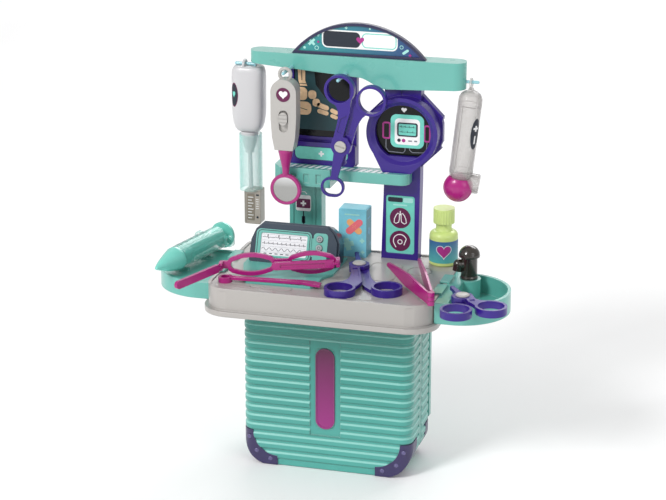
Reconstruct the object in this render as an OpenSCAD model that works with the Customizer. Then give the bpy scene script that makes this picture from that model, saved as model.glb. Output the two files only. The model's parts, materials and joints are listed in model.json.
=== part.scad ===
// Toy doctor case: a standing suitcase with a clip-on counter, two side
// trays, a tool rail and its loose play tools. Millimetres, +Z up.
// The origin is on the floor under the middle of the case, -Y is the front.

/* [Case] */
// Width of the case over its ribs
case_w = 188; // [170:1:205]
// Depth from the rib crests in front to the back panel's rear face
case_d = 96; // [90:1:104]
// Height of the case up to the underside of the counter
case_h = 183.4; // [180:0.2:200]
// Height step from one rib to the next
rib_pitch = 10.41; // [9:0.01:14]
// How far the ribs stand out of the wall
rib_out = 1.4; // [0.8:0.1:1.5]
// Radius of the case's lower corners, seen from the front
corner_r = 32; // [24:1:36]
// Thickness of the case's walls
case_wall = 2.6; // [2:0.1:3.4]

/* [Counter] */
// Half width of the counter
counter_x = 122.5; // [118:0.5:124]
// Front edge of the counter
counter_front = -93; // [-98:1:-90]
// Back edge of the counter
counter_back = 76; // [75:1:84]
// Thickness of the counter without its lower lip
counter_t = 24.2; // [20:0.1:28]
// Height of the raised rim round the counter's top
counter_rim = 1.2; // [0.8:0.1:2]

/* [Side trays] */
// How far the left tray reaches out
left_reach = 72; // [60:1:74]
// Half length of the left tray
left_half = 56; // [50:1:60]
// How far the sink tray reaches out
sink_reach = 69; // [62:1:72]
// Half length of the sink tray
sink_half = 52; // [48:1:56]
// Depth of the left tray
tray_h = 18.4; // [16:0.2:18.6]
// Depth of the sink tray
sink_h = 22.6; // [18:0.2:22.8]
// Wall of the sink tray
tray_wall = 2.6; // [2:0.2:4]

/* [Tool rail] */
// Top of the canopy
canopy_top = 435; // [434:1:440]
// Wall of the canopy
canopy_wall = 2.2; // [1.6:0.1:3]
// Outer radius of the round panel's ring
ring_r = 39; // [36:0.5:40]
// Height of the ring's centre
ring_z = 356.5; // [354:0.5:359]

/* [Tools] */
// Outer radius of the finger loops
loop_r = 16.4; // [15:0.1:16.8]
// Band thickness of the finger loops
loop_band = 2.8; // [2:0.1:4]
// Outer radius of the syringe's barrel
barrel_r = 13; // [12:0.1:13.4]
// Radius of the pill bottle
bottle_r = 15.5; // [14:0.1:16]

/* [Hidden] */

$fn = 48;

mint = [0.46, 0.77, 0.71];
teal = [0.38, 0.68, 0.63];
grey = [0.80, 0.78, 0.75];
purple = [0.34, 0.23, 0.64];
magenta = [0.75, 0.20, 0.56];
navy = [0.15, 0.17, 0.32];
white = [0.92, 0.91, 0.91];
lime = [0.76, 0.85, 0.36];

wall_x = case_w / 2 - rib_out;
wall_y = case_d / 2 - rib_out;
plan_r = 12;
split_front = -3.5;
split_rear = -2.9;
rear_end = case_d / 2 - 8;
guard_reach = 38;
guard_band = 10.5;
top_z = case_h + 5.6 + counter_t;
floor_z = top_z - counter_rim;
hinge_x = -case_w / 2 - 1.5;
hinge_y = -3.2;
hinge_z = [44, 114];
shelf_top = 313;
under_canopy = canopy_top - canopy_wall;

// Shared shapes

// Rectangle with its own radii at the front and at the back
module plan_rect(x, y0, y1, rf, rb) {
    translate([-x, y0 + rf])
        square([2 * x, y1 - y0 - rf - rb]);
    translate([-x + rf, y0])
        square([2 * (x - rf), rf + 1]);
    translate([-x + rb, y1 - rb - 1])
        square([2 * (x - rb), rb + 1]);
    for (s = [-1, 1]) {
        translate([s * (x - rf), y0 + rf])
            circle(rf);
        translate([s * (x - rb), y1 - rb])
            circle(rb);
    }
}

// Rounded rectangle from its lower left corner
module round_rect(w, h, r) {
    translate([r, 0])
        square([w - 2 * r, h]);
    translate([0, r])
        square([w, h - 2 * r]);
    for (x = [r, w - r], y = [r, h - r])
        translate([x, y])
            circle(r);
}

// Stands a flat outline up: its y becomes z, and it runs from y0 to y1
module upright(y0, y1) {
    translate([0, y1, 0])
        rotate([90, 0, 0])
            linear_extrude(y1 - y0)
                children();
}

// Round rod from point a to point b
module rod(a, b, r) {
    d = b - a;
    len = norm(d);
    translate(a)
        rotate([0, acos(d[2] / len), atan2(d[1], d[0])])
            cylinder(h = len, r = r);
}

// The case

// Half outline of the case seen from the front, grown by g
module case_front_outline(g) {
    intersection() {
        translate([-150, 0])
            square([300, case_h]);
        union() {
            translate([-wall_x - g, corner_r])
                square([2 * (wall_x + g), case_h]);
            translate([-(wall_x - corner_r), -g])
                square([2 * (wall_x - corner_r), corner_r + g + 1]);
            for (s = [-1, 1])
                translate([s * (wall_x - corner_r), corner_r])
                    circle(corner_r + g, $fn = 96);
        }
    }
}

// Solid block of one half, its outlines grown by g, before it is hollowed
module half_block(y0, y1, rf, rb, top, g) {
    intersection() {
        linear_extrude(top)
            plan_rect(wall_x + g, y0, y1, rf, rb);
        upright(y0 - 1, y1 + 1)
            case_front_outline(g);
    }
}

// Row of ribs as one profile: r outward from the wall, z upward
function rib_profile(top) = concat(
    [[-1.2, 4]],
    [for (i = [1 : floor((top - 6) / rib_pitch)])
        let (z = i * rib_pitch + 0.54)
        each [[0, z - 3.9], [rib_out * 0.75, z - 3.2], [rib_out, z - 2],
              [rib_out, z + 2], [rib_out * 0.75, z + 3.2], [0, z + 3.9]]],
    [[-1.2, top - 1]]);

// Ribbed skin that goes round three sides, from y_open to the closed face
module rib_skin(y_face, y_open, rc, top) {
    s = sign(y_open - y_face);
    run = abs(y_open - y_face) - rc;
    span = 2 * (wall_x - rc);
    translate([-span / 2, y_face, 0])
        rotate([90, 0, 90])
            linear_extrude(span)
                mirror([s > 0 ? 1 : 0, 0])
                    polygon(rib_profile(top));
    for (m = [-1, 1]) {
        translate([m * wall_x, min(y_face + s * rc, y_open), 0])
            rotate([90, 0, 180])
                linear_extrude(run)
                    mirror([m > 0 ? 1 : 0, 0])
                        polygon(rib_profile(top));
        translate([m * (wall_x - rc), y_face + s * rc, 0])
            rotate([0, 0, s > 0 ? (m > 0 ? 270 : 180) : (m > 0 ? 0 : 90)])
                rotate_extrude(angle = 90, $fn = 64)
                    translate([rc, 0])
                        polygon(rib_profile(top));
    }
}

// Reach of the corner guards, seen from the front: bands round the corners
module guard_zone(y0, y1) {
    upright(y0, y1)
        for (s = [-1, 1])
            difference() {
                translate([s * (wall_x - guard_reach / 2 + 5) - guard_reach / 2 - 5, -5])
                    square([guard_reach + 10, guard_reach + 5]);
                translate([s * (wall_x - guard_reach), guard_reach])
                    circle(guard_reach - guard_band, $fn = 96);
            }
}

// Hinge knuckle with the leaf that ties it to its half
module knuckle(z, h, y_leaf, bore) {
    difference() {
        union() {
            translate([hinge_x, hinge_y, z])
                cylinder(h = h, r = 3);
            translate([hinge_x, y_leaf, z])
                cube([5.5, 2.7, h]);
        }
        translate([hinge_x, hinge_y, z - 1])
            cylinder(h = h + 2, r = bore);
    }
}

module front_shell() {
    top = case_h - 0.5;
    color(mint) {
        difference() {
            union() {
                half_block(-wall_y, split_front, plan_r, 0.01, top, 0);
                difference() {
                    intersection() {
                        rib_skin(-wall_y, split_front - 5, plan_r, top);
                        upright(-wall_y - 3, split_front)
                            case_front_outline(rib_out);
                    }
                    guard_zone(-60, -20);
                    translate([-18, -60, 40])
                        cube([34, 30, 108]);
                }
                intersection() {
                    translate([-100, split_front - 5, 0])
                        cube([200, 5, top]);
                    half_block(split_front - 6, split_front, 0.01, 0.01, top, 1);
                }
            }
            translate([0, case_wall, 0])
                half_block(-wall_y, 10, plan_r - case_wall, 0.01, top - case_wall, -case_wall);
            for (z = hinge_z, k = [0, 20.8])
                translate([hinge_x, hinge_y, z + k - 0.4])
                    cylinder(h = 10.8, r = 3.4);
            // shallow seat of the plaque
            translate([0, -wall_y + 0.8, 0])
                upright(-3, 0)
                    translate([-11.5, 47.7])
                        round_rect(21, 92, 5);
        }
        for (z = hinge_z)
            knuckle(z + 10.4, 10, split_front - 2.7, 1.4);
    }
}

module plaque() {
    color(magenta)
        translate([0, -wall_y + 0.8, 0])
            difference() {
                upright(-2.2, 0)
                    translate([-11.5, 47.7])
                        round_rect(21, 92, 5);
                upright(-3, -1.6)
                    translate([-9.9, 49.3])
                        round_rect(17.8, 88.8, 3.6);
            }
}

module guards(y0, y1, rf, rb) {
    difference() {
        intersection() {
            half_block(y0 - 1.5, y1, rf + 1.5, rb, 60, 1.5);
            guard_zone(y0 - 3, y1);
        }
        half_block(y0, 60, rf, 0.01, 80, 0);
        for (s = [-1, 1], p = [[6.5, 30], [14.5, 14.5], [30, 6.5]])
            translate([s * (wall_x - p[0]), y0 - 0.9, p[1]])
                rotate([90, 0, 0])
                    cylinder(h = 3, r = 1.7);
    }
}

module front_guards() {
    color(navy)
        guards(-wall_y, -20, plan_r, 0.01);
}

module rear_guards() {
    color(navy)
        mirror([0, 1, 0])
            guards(-rear_end, -20, 10, 0.01);
}

module rear_shell() {
    color(mint) {
        difference() {
            union() {
                half_block(split_rear, rear_end, 0.01, 10, case_h, 0);
                difference() {
                    intersection() {
                        rib_skin(rear_end, split_rear + 5, 10, case_h);
                        upright(split_rear, rear_end)
                            case_front_outline(rib_out);
                    }
                    guard_zone(20, 60);
                }
                intersection() {
                    translate([-100, split_rear, 0])
                        cube([200, 5, case_h]);
                    half_block(split_rear, split_rear + 6, 0.01, 0.01, case_h, 1);
                }
            }
            translate([0, -case_wall, 0])
                half_block(-20, rear_end, 0.01, 10 - case_wall, case_h - case_wall, -case_wall);
            for (z = hinge_z)
                translate([hinge_x, hinge_y, z + 10])
                    cylinder(h = 10.8, r = 3.4);
        }
        for (z = hinge_z, k = [0, 20.8])
            knuckle(z + k, 10, split_rear, 1.3);
    }
}

module door_pins() {
    color(grey)
        for (z = hinge_z)
            translate([hinge_x, hinge_y, z - 1])
                cylinder(h = 32.8, r = 1.3);
}

// Smooth plate on the back, with a pressed border and four feet pads
module back_panel() {
    color(teal)
        difference() {
            upright(rear_end, case_d / 2)
                translate([-93, 16])
                    round_rect(186, case_h - 16, 3);
            // clear of the corner guards
            for (s = [-1, 1])
                upright(rear_end - 1, case_d)
                    translate([s * (wall_x - guard_reach / 2) - guard_reach / 2 - 0.4, 0])
                        square([guard_reach + 0.8, guard_reach + 0.4]);
            upright(case_d / 2 - 1.2, case_d / 2 + 1)
                difference() {
                    translate([-85, 46])
                        round_rect(170, case_h - 54, 6);
                    translate([-81, 50])
                        round_rect(162, case_h - 62, 5);
                }
        }
}

// The counter

tab_right = [[-50, 28], [-14, 24]];
tab_left = [[-40, 26], [4, 26]];

module table_base() {
    z0 = case_h + 5.6;
    color(grey)
        difference() {
            union() {
                translate([0, 0, case_h])
                    linear_extrude(5.6)
                        plan_rect(counter_x + 4.2, counter_front - 4.2, counter_back + 4.2, 31, 18);
                translate([0, 0, z0])
                    linear_extrude(counter_t)
                        plan_rect(counter_x, counter_front, counter_back, 27, 14);
            }
            // shallow recess inside the rim
            translate([0, 0, floor_z])
                linear_extrude(10)
                    plan_rect(counter_x - 3.4, counter_front + 3.4, counter_back - 3.4, 24, 11);
            // slot in the front left of the top
            translate([-75, -76, floor_z - 4])
                linear_extrude(10)
                    square([14, 3]);
            // slots that take the trays' hooks
            for (t = tab_right)
                translate([counter_x - 7.9, t[0] + 1.6, top_z - 8])
                    cube([3.8, t[1] - 3.2, 10]);
            for (t = tab_left)
                translate([-counter_x + 4.1, t[0] + 1.6, top_z - 8])
                    cube([3.8, t[1] - 3.2, 10]);
            // slanted facets in the front face, near its ends
            for (s = [-1, 1])
                translate([s * 96, counter_front, z0])
                    rotate([0, 0, s * 12])
                        translate([-14, -6, 3])
                            cube([28, 6, counter_t - 6]);
        }
}

// Trays

// D outline: straight along the counter, round on the far side
module d_outline(reach, half, in) {
    intersection() {
        translate([in, -half + in])
            square([reach - 2 * in + 0.001, 2 * (half - in)]);
        union() {
            translate([reach - half, 0])
                circle(half - in, $fn = 96);
            if (reach > half)
                translate([in, -half + in])
                    square([reach - half - in, 2 * (half - in)]);
        }
    }
}

// Hook tabs: each reaches over the rim and down into its slot
module hook_tabs(tabs, wall_top) {
    for (t = tabs) {
        translate([-7.6, t[0], top_z + 0.1])
            cube([10.6, t[1], 2]);
        translate([-7.6, t[0] + 2, top_z - 7.6])
            cube([3.2, t[1] - 4, 8.6]);
        translate([0.4, t[0], wall_top - 1])
            cube([2.6, t[1], top_z + 1.5 - wall_top]);
    }
}

left_top = 208;
sink_top = 212.2;
left_y = -8;
sink_y = -21.5;

// Shallow tray, drawn to the right of the counter and mirrored into place
module left_tray() {
    // two cradle ribs under the syringe
    color(mint)
        for (t = [52, 98])
            translate(syr_tip + [t * sin(syr_yaw), t * cos(syr_yaw), 0])
                rotate([0, 0, -syr_yaw])
                    translate([-8, -1.5, -barrel_r - 3.4])
                        cube([16, 3, 3.3]);
    color(mint)
        mirror([1, 0, 0])
            translate([counter_x + 0.4, 0, 0]) {
                translate([0, left_y, 0])
                    difference() {
                        translate([0, 0, left_top - tray_h])
                            linear_extrude(tray_h)
                                d_outline(left_reach, left_half, 0);
                        translate([0, 0, left_top - 1.6])
                            linear_extrude(10)
                                d_outline(left_reach, left_half, 4.5);
                        translate([0, 0, left_top - tray_h - 1])
                            linear_extrude(tray_h - 3)
                                d_outline(left_reach, left_half, 2.4);
                    }
                translate([-0.4, 0, 0])
                    hook_tabs(tab_left, left_top);
            }
}

// Deep bowl with a ledge along the counter and a boss for the tap
module sink_tray() {
    color(mint)
        translate([counter_x + 0.4, 0, 0]) {
            translate([0, sink_y, 0])
                difference() {
                    translate([0, 0, sink_top - sink_h])
                        linear_extrude(sink_h)
                            d_outline(sink_reach, sink_half, 0);
                    difference() {
                        translate([0, 0, sink_top - sink_h + tray_wall])
                            linear_extrude(30)
                                intersection() {
                                    d_outline(sink_reach, sink_half, 3.4);
                                    translate([14, -90])
                                        square([90, 180]);
                                }
                        translate([tap_x - counter_x - 0.4, tap_y - sink_y, 0])
                            cylinder(h = 300, r = 12.6);
                        translate([0, tap_y - sink_y - 12.6, 0])
                            cube([tap_x - counter_x - 0.4, 25.2, 300]);
                    }
                    translate([tap_x - counter_x - 0.4, tap_y - sink_y, sink_top - 6])
                        cylinder(h = 10, r = 5);
                }
            translate([-0.4, 0, 0])
                hook_tabs(tab_right, sink_top);
        }
}

tap_x = counter_x + 18;
tap_y = 13.5;

// Column with an elbow spout that points back over the counter
module tap_body() {
    spout = [[0, 0, 16.5], [-10.5, -6, 16.5], [-11.5, -6.6, 9.5]];
    color([0.20, 0.17, 0.15])
        translate([tap_x, tap_y, sink_top])
            difference() {
                union() {
                    rotate_extrude()
                        polygon([[0, -6], [5, -6], [5, 0], [9.4, 0], [9.4, 2], [8.8, 3.5],
                            [8.6, 24], [4, 24], [4, 28], [0, 28]]);
                    rod(spout[0], spout[1], 5);
                    translate(spout[1])
                        sphere(5.4);
                    rod(spout[1], spout[2], 5.2);
                }
                rod(spout[1], spout[2] - [0.2, 0.1, 2], 3.2);
            }
}

// Domed cap with six finger flutes
module tap_knob() {
    color([0.24, 0.21, 0.19])
        translate([tap_x, tap_y, sink_top + 24.3])
            difference() {
                rotate_extrude()
                    polygon(concat([[4.3, 0], [11.2, 0], [11.4, 1.2]],
                        [for (a = [10 : 10 : 90]) [11.4 * cos(a), 1.2 + 11 * sin(a)]],
                        [[0, 4.2], [4.3, 4.2]]));
                for (a = [0 : 60 : 300])
                    rotate([0, 0, a])
                        translate([13.4, 0, 5])
                            cylinder(h = 12, r = 3.2);
            }
}

// Clamps with finger loops

// Flat arm from one point to another, w0 wide at the first and w1 at the last
module arm(p, q, w0, w1) {
    d = (q - p) / norm(q - p);
    n = [-d[1], d[0]];
    polygon([p + n * w0 / 2, q + n * w1 / 2, q - n * w1 / 2, p - n * w0 / 2]);
}

// Point at t on the quadratic curve with end points a, c and handle b
function curve(a, b, c, t) = a * (1 - t) * (1 - t) + b * 2 * t * (1 - t) + c * t * t;

// Outline of one broad arm: straight beside the other half, hollow outside,
// and it flows into the loop whose centre is (lx, -ly)
function arm_outline(lx, ly) = concat(
    [[0.3, 0], [10.2, -2]],
    [for (t = [0 : 0.2 : 1])
        curve([10.2, -0.3 * ly], [10.2, -ly + 20], [lx + 1, -ly + 16], t)],
    [[lx, -ly], [lx - 15, -ly - 4]],
    [for (t = [0 : 0.25 : 1])
        curve([lx - 15.6, -ly - 1], [4, -ly + 6], [0.3, -ly + 17], t)]);

// One half in its own flat frame: pivot at the origin, the loops towards -y.
// The arm and the jaw lie in the layer z0..z1, the loop is as tall as the tool
module clamp_half(m, len, spread, tip, z0, z1, jaw_w, bore) {
    lx = len * sin(spread);
    ly = len * cos(spread);
    difference() {
        union() {
            translate([0, 0, z0])
                linear_extrude(z1 - z0) {
                    mirror([m > 0 ? 0 : 1, 0])
                        polygon(arm_outline(lx, ly));
                    arm([0, 0], tip, jaw_w * 1.5, jaw_w * 0.8);
                    rotate(22.5)
                        circle(11.6, $fn = 8);
                    translate(tip)
                        circle(jaw_w / 2);
                }
            translate([m * lx, -ly, 0])
                cylinder(h = clamp_t, r = loop_r, $fn = 64);
        }
        translate([m * lx, -ly, -1])
            cylinder(h = clamp_t + 2, r = loop_r - loop_band, $fn = 64);
        translate([0, 0, -1])
            cylinder(h = clamp_t + 2, r = bore);
        // field pressed into the arm
        translate([0, 0, z1 - 0.8])
            linear_extrude(2)
                polygon([[m * 2.4, -14], [m * 8, -14], [m * 8, -0.5 * ly], [m * 2.4, -0.6 * ly]]);
    }
}

// Cap of the pivot with its rivet
module clamp_cap() {
    cylinder(h = clamp_t + 0.4, r = rivet_r);
    translate([0, 0, clamp_t + 0.2])
        rotate_extrude()
            polygon([[0, 0], [7.2, 0], [7.2, 1], [5.8, 2], [0, 2.2]]);
}

clamp_t = 8;
rivet_r = 2.7;
running = 0.1;

// The clamp on the counter
table_len = 79;
table_spread = 18.1;

module table_place() {
    translate([22, 6.4, floor_z])
        rotate([0, 0, 18.1])
            children();
}

module table_clamp_a() {
    color(purple)
        table_place()
            clamp_half(1, table_len, table_spread, [0.6, 37], 0, 3.7, 4.6, rivet_r);
}

module table_clamp_b() {
    color(purple)
        table_place()
            difference() {
                clamp_half(-1, table_len, table_spread, [-0.6, 38], 4.1, 8, 4.6,
                    rivet_r + running);
                translate([0, 0, -1])
                    cylinder(h = 5.1, r = 12.2);
            }
}

module table_clamp_cap() {
    color(white)
        table_place()
            clamp_cap();
}

// The clamp in the sink: it lies over the front rim with its jaws in the bowl
sink_len = 41;
sink_spread = 27;

module sink_place() {
    translate([151, -66, 212.3])
        rotate([0, 0, 30])
            children();
}

module sink_clamp_a() {
    color(purple)
        sink_place()
            clamp_half(-1, sink_len, sink_spread, [1.5, 31], 0, 3.7, 5, rivet_r);
}

module sink_clamp_b() {
    color(purple)
        sink_place()
            clamp_half(1, sink_len, sink_spread, [-1.5, 30], 4.1, 8, 5, rivet_r + running);
}

module sink_clamp_cap() {
    color(white)
        sink_place()
            clamp_cap();
}

// The clamp that hangs from the rail: its flat outlines stand upright
hang_len = 61;
hang_spread = 17.2;
hang_turn = 15.5;

module hang_place() {
    drop = hang_len * cos(hang_spread - hang_turn);
    side = hang_len * sin(hang_spread - hang_turn);
    translate([clamp_x + side, 28, clamp_hook + peg_r + 0.2 - loop_r + loop_band - drop])
        rotate([90, 0, 0])
            rotate([0, 0, 180 - hang_turn])
                children();
}

// Ring at the end of the hanging clamp's lower jaw
module jaw_ring(r) {
    for (s = [-1, 1])
        translate([s * 2.2, 0])
            circle(r);
    translate([-2.2, -r])
        square([4.4, 2 * r]);
}

jaw_end = [-3.5, 46.5];

module clamp_a() {
    color(purple)
        hang_place()
            difference() {
                union() {
                    clamp_half(1, hang_len, hang_spread, [-2.5, 37], 4.3, 8, 9, rivet_r);
                    translate([jaw_end[0], jaw_end[1], 4.3])
                        linear_extrude(3.7)
                            rotate(hang_turn)
                                jaw_ring(10.8);
                }
                translate([jaw_end[0], jaw_end[1], 0])
                    linear_extrude(10)
                        rotate(hang_turn)
                            jaw_ring(8.2);
            }
}

module clamp_b() {
    color(purple)
        hang_place()
            clamp_half(-1, hang_len, hang_spread, [-5, 18], 0, 3.9, 9, rivet_r + running);
}

module clamp_screw() {
    color(grey)
        hang_place() {
            cylinder(h = clamp_t, r = rivet_r);
            translate([0, 0, clamp_t])
                difference() {
                    cylinder(h = 2, r = 6.2);
                    translate([-5, -0.7, 1])
                        cube([10, 1.4, 2]);
                }
        }
}

// Uprights, shelf and canopy

module left_upright() {
    color(mint)
        difference() {
            translate([-70.4, 56, floor_z])
                cube([36.4, 16, shelf_top - 20 - floor_z]);
            upright(50, 57.2)
                translate([-66, floor_z + 8])
                    round_rect(22, 64, 3);
            upright(50, 57)
                translate([-41.5, floor_z + 4])
                    square([2, 73]);
        }
}

module shelf() {
    z0 = shelf_top - 20;
    color(mint)
        difference() {
            union() {
                translate([0, 0, z0])
                    linear_extrude(20)
                        polygon([[-83, 44], [-74, 33], [-18, 33], [-18, 72], [-83, 72]]);
                translate([0, 0, shelf_top - 12])
                    linear_extrude(12)
                        difference() {
                            union() {
                                translate([-18, 36])
                                    square([75, 20]);
                                translate([57, 46])
                                    circle(10);
                                translate([57, 46])
                                    square([10, 10]);
                            }
                            translate([34, 56])
                                square([50, 20]);
                        }
            }
            // grooves across the front of the lower block
            for (x = [-62, -48, -34])
                translate([x, 32, z0 + 4])
                    cube([6, 2.2, 10]);
        }
}

// Light-box frame: a window frame with a thicker bar along its foot
module xray_frame() {
    color(purple)
        difference() {
            union() {
                upright(57, 66)
                    translate([-71, shelf_top])
                        square([76, under_canopy - shelf_top]);
                upright(51, 57)
                    translate([-71, shelf_top])
                        round_rect(76, 25, 4);
            }
            upright(50, 60)
                translate([-65, shelf_top + 30])
                    round_rect(62, 100, 4);
            upright(50, 52)
                translate([-63, shelf_top + 5])
                    round_rect(60, 15, 6);
            upright(64, 70)
                translate([-64, shelf_top + 6])
                    square([62, 100]);
        }
}

module xray_screen() {
    color([0.06, 0.07, 0.10])
        upright(58.4, 60)
            translate([-65, shelf_top + 30])
                round_rect(62, 86, 4);
}

// Purple post: sticker field below, round panel's ring and collar in the middle
module right_upright() {
    cx = 58.5;
    color(purple)
        difference() {
            union() {
                upright(56, 70.5)
                    polygon([[33.5, floor_z], [74.5, floor_z], [76, 300], [76, under_canopy],
                        [36, under_canopy], [36, 300]]);
                upright(42, 60)
                    difference() {
                        union() {
                            translate([cx, ring_z])
                                circle(ring_r, $fn = 96);
                            polygon([[cx - 31, ring_z - 24], [cx - 21, shelf_top],
                                [cx + 10, shelf_top], [cx + 31, ring_z - 24]]);
                        }
                        translate([0, shelf_top - 30])
                            square([120, 30]);
                    }
                // eight-sided collar behind the ring
                upright(60, 68)
                    translate([cx, ring_z])
                        rotate(22.5)
                            circle(44, $fn = 8);
            }
            // dished opening with a flat foot, and its sloping rim
            upright(40, 53)
                intersection() {
                    translate([cx, ring_z])
                        circle(30.5, $fn = 96);
                    translate([0, ring_z - 26])
                        square([120, 80]);
                }
            translate([cx, 42, ring_z])
                rotate([90, 0, 0])
                    rotate_extrude($fn = 96)
                        polygon([[0, -4], [31, -4], [35, 0.01], [35, 1], [0, 1]]);
            // field for the lower sticker
            upright(50, 57)
                translate([38, floor_z + 6])
                    round_rect(32.4, 66, 3);
            // notches in the collar's right side
            for (a = [-14, 20])
                translate([cx, 64, ring_z])
                    rotate([0, a, 0])
                        translate([41.5, -6, -3.5])
                            cube([9, 12, 7]);
            // groove down the top of the post
            upright(50, 56.8)
                translate([54, ring_z + ring_r])
                    square([1.4, 60]);
            // shallow panel pressed into the back of the post
            upright(69.5, 75)
                translate([41, floor_z + 8])
                    round_rect(28, 150, 4);
        }
}

module round_panel() {
    cx = 58.5;
    color([0.07, 0.07, 0.09])
        upright(51.6, 53)
            intersection() {
                translate([cx, ring_z])
                    circle(30.4, $fn = 96);
                translate([0, ring_z - 25.9])
                    square([120, 80]);
            }
}

// Canopy's front outline: nearly straight, then a wave down to the right
function wave_z(x) =
    x < 8 ? 421.9 - (x + 114) * 0.0705
    : x < 39 ? 413.3 - 11 * (1 - cos((x - 8) / 31 * 180)) / 2
    : 402.3 + (x - 39) * 0.041;

module canopy_plan(in) {
    x0 = -114 + 12;
    x1 = 123.5 - 12;
    translate([x0, 49 + in])
        square([x1 - x0, 24 - 2 * in]);
    for (x = [x0, x1])
        translate([x, 61])
            circle(12 - in);
}

module canopy() {
    color(mint)
        difference() {
            intersection() {
                translate([0, 0, 395])
                    linear_extrude(canopy_top - 395)
                        canopy_plan(0);
                upright(40, 90)
                    polygon(concat([for (x = [-116, -60, 0]) [x, wave_z(x)]],
                        [for (x = [8 : 3.1 : 39.1]) [x, wave_z(x)]],
                        [for (x = [80, 126]) [x, wave_z(x)]],
                        [[126, canopy_top + 1], [-116, canopy_top + 1]]));
            }
            translate([0, 0, 380])
                linear_extrude(under_canopy - 380)
                    canopy_plan(canopy_wall);
            // slots for the sign's clips
            for (x = [-44, 58])
                translate([x - 4, 55, canopy_top - 3])
                    cube([8, 2, 6]);
        }
}

// Circle arc that passes over the sign, as points
sign_w = 73.7;
sign_h = 36;
sign_rad = (sign_w * sign_w + sign_h * sign_h) / (2 * sign_h);

module sign_outline(in) {
    intersection() {
        translate([7.7, canopy_top + sign_h - sign_rad])
            circle(sign_rad - in, $fn = 160);
        translate([-90, canopy_top + in])
            square([200, 60]);
        translate([7.7 - sign_w + in * 2.2, canopy_top])
            square([2 * (sign_w - in * 2.2), 60]);
    }
}

module sign_frame() {
    color(navy) {
        difference() {
            upright(52, 58)
                sign_outline(0);
            upright(50, 54.6)
                sign_outline(3);
            upright(56, 60)
                sign_outline(3);
        }
        for (x = [-44, 58])
            translate([x - 4, 55, canopy_top - 2.15])
                cube([8, 2, 2.65]);
    }
}

module sign_panel() {
    color([0.13, 0.45, 0.60])
        upright(53.6, 54.6)
            sign_outline(3);
}

peg_r = 1.8;
mirror_x = -64.5;
mirror_y = 23;
mirror_z = 4.5;
mirror_hook = 420.5;
clamp_x = -4.6;
clamp_hook = 416.8;

// Pegs on the canopy's front wall, and one at each of its ends
module hooks() {
    color([0.55, 0.80, 0.85]) {
        for (p = [[mirror_x, mirror_hook], [clamp_x, clamp_hook]]) {
            translate([p[0], 49, p[1]])
                rotate([90, 0, 0])
                    cylinder(h = 33, r = peg_r);
            translate([p[0], 16, p[1]])
                sphere(peg_r);
        }
        translate([-110.4, 58, 416])
            cube([2, 6, under_canopy - 416]);
        rod([-109, 61, 417.8], [-131, 61, 417.8], peg_r);
        translate([-131, 61, 417.8])
            sphere(peg_r);
        difference() {
            union() {
                rod([118, 61, 413.6], [136, 61, 413.6], peg_r);
                translate([136, 61, 413.6])
                    sphere(peg_r);
            }
            translate([0, 0, 380])
                linear_extrude(60)
                    canopy_plan(0);
        }
    }
}

// Hanging tools

iv_y = 61;

module iv_bottle() {
    color(white) {
        difference() {
            translate([-138.9, iv_y - 13, 343])
                translate([0, 26, 0])
                    rotate([90, 0, 0])
                        linear_extrude(26)
                            polygon([[13, 0], [28, 0], [38.5, 9], [41.1, 18], [41.1, 66], [36, 72.4],
                                [5, 72.4], [0, 66], [0, 18], [2.6, 9]]);
            // pressed front field for the label
            translate([-118.3 - 12, iv_y - 14, 368])
                cube([24, 1.8, 34]);
        }
        translate([-121.5, iv_y, 415.4])
            intersection() {
                rotate([0, 90, 0])
                    rotate_extrude()
                        translate([6.2, 0])
                            circle(1.6);
                translate([-20, -20, -1.5])
                    cube([40, 40, 40]);
            }
    }
}

module iv_neck() {
    color(white)
        translate([-117, iv_y, 322])
            rotate_extrude()
                polygon([[0, -3], [5, -3], [5, 0], [6.4, 3], [9.5, 16], [9.5, 21], [0, 21]]);
}

module iv_sleeve() {
    color([0.55, 0.85, 0.78, 0.5])
        difference() {
            translate([-115.9, iv_y, 277])
                cylinder(h = 63, r = 12.7);
            translate([-115.9, iv_y, 276])
                cylinder(h = 65, r = 11.5);
            translate([-115.9, iv_y, 330])
                cylinder(h = 20, r = 11.6);
        }
}

module iv_tube() {
    color(white)
        rod([-115.9, iv_y, 277], [-116.9, iv_y, 319], 2.4);
}

module iv_regulator() {
    color([0.72, 0.68, 0.64])
        difference() {
            translate([-126.6, iv_y - 8, 239])
                cube([23.6, 16, 38]);
            translate([-121, iv_y - 9, 247])
                cube([9, 3, 22]);
            translate([-108.6, iv_y - 9, 243])
                cube([2, 2, 30]);
        }
}

// The mirror tool hangs by its loop, and its parts share this place
module mirror_place() {
    translate([mirror_x, mirror_y, mirror_z])
        children();
}

module mirror_handle() {
    color(white)
        mirror_place() {
            difference() {
                upright(-8, 8)
                    union() {
                        translate([0, 395.2])
                            circle(14.2, $fn = 64);
                        polygon([[-14.2, 395.2], [-14.2, 366], [-12.8, 346], [-10, 332],
                            [10, 332], [12.8, 346], [14.2, 366], [14.2, 395.2]]);
                    }
                // track of the sliding switch
                upright(-9, -4.6)
                    translate([-5, 352])
                        round_rect(10, 24, 4.9);
                // shallow round seat of the badge
                upright(-9, -7.4)
                    translate([0, 393])
                        circle(7.8);
            }
            translate([0, 0, mirror_hook - mirror_z + peg_r + 0.2 - 4.3])
                intersection() {
                    rotate([90, 0, 0])
                        rotate_extrude()
                            translate([6.2, 0])
                                circle(1.9);
                    translate([-20, -20, -6])
                        cube([40, 40, 40]);
                }
        }
}

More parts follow.
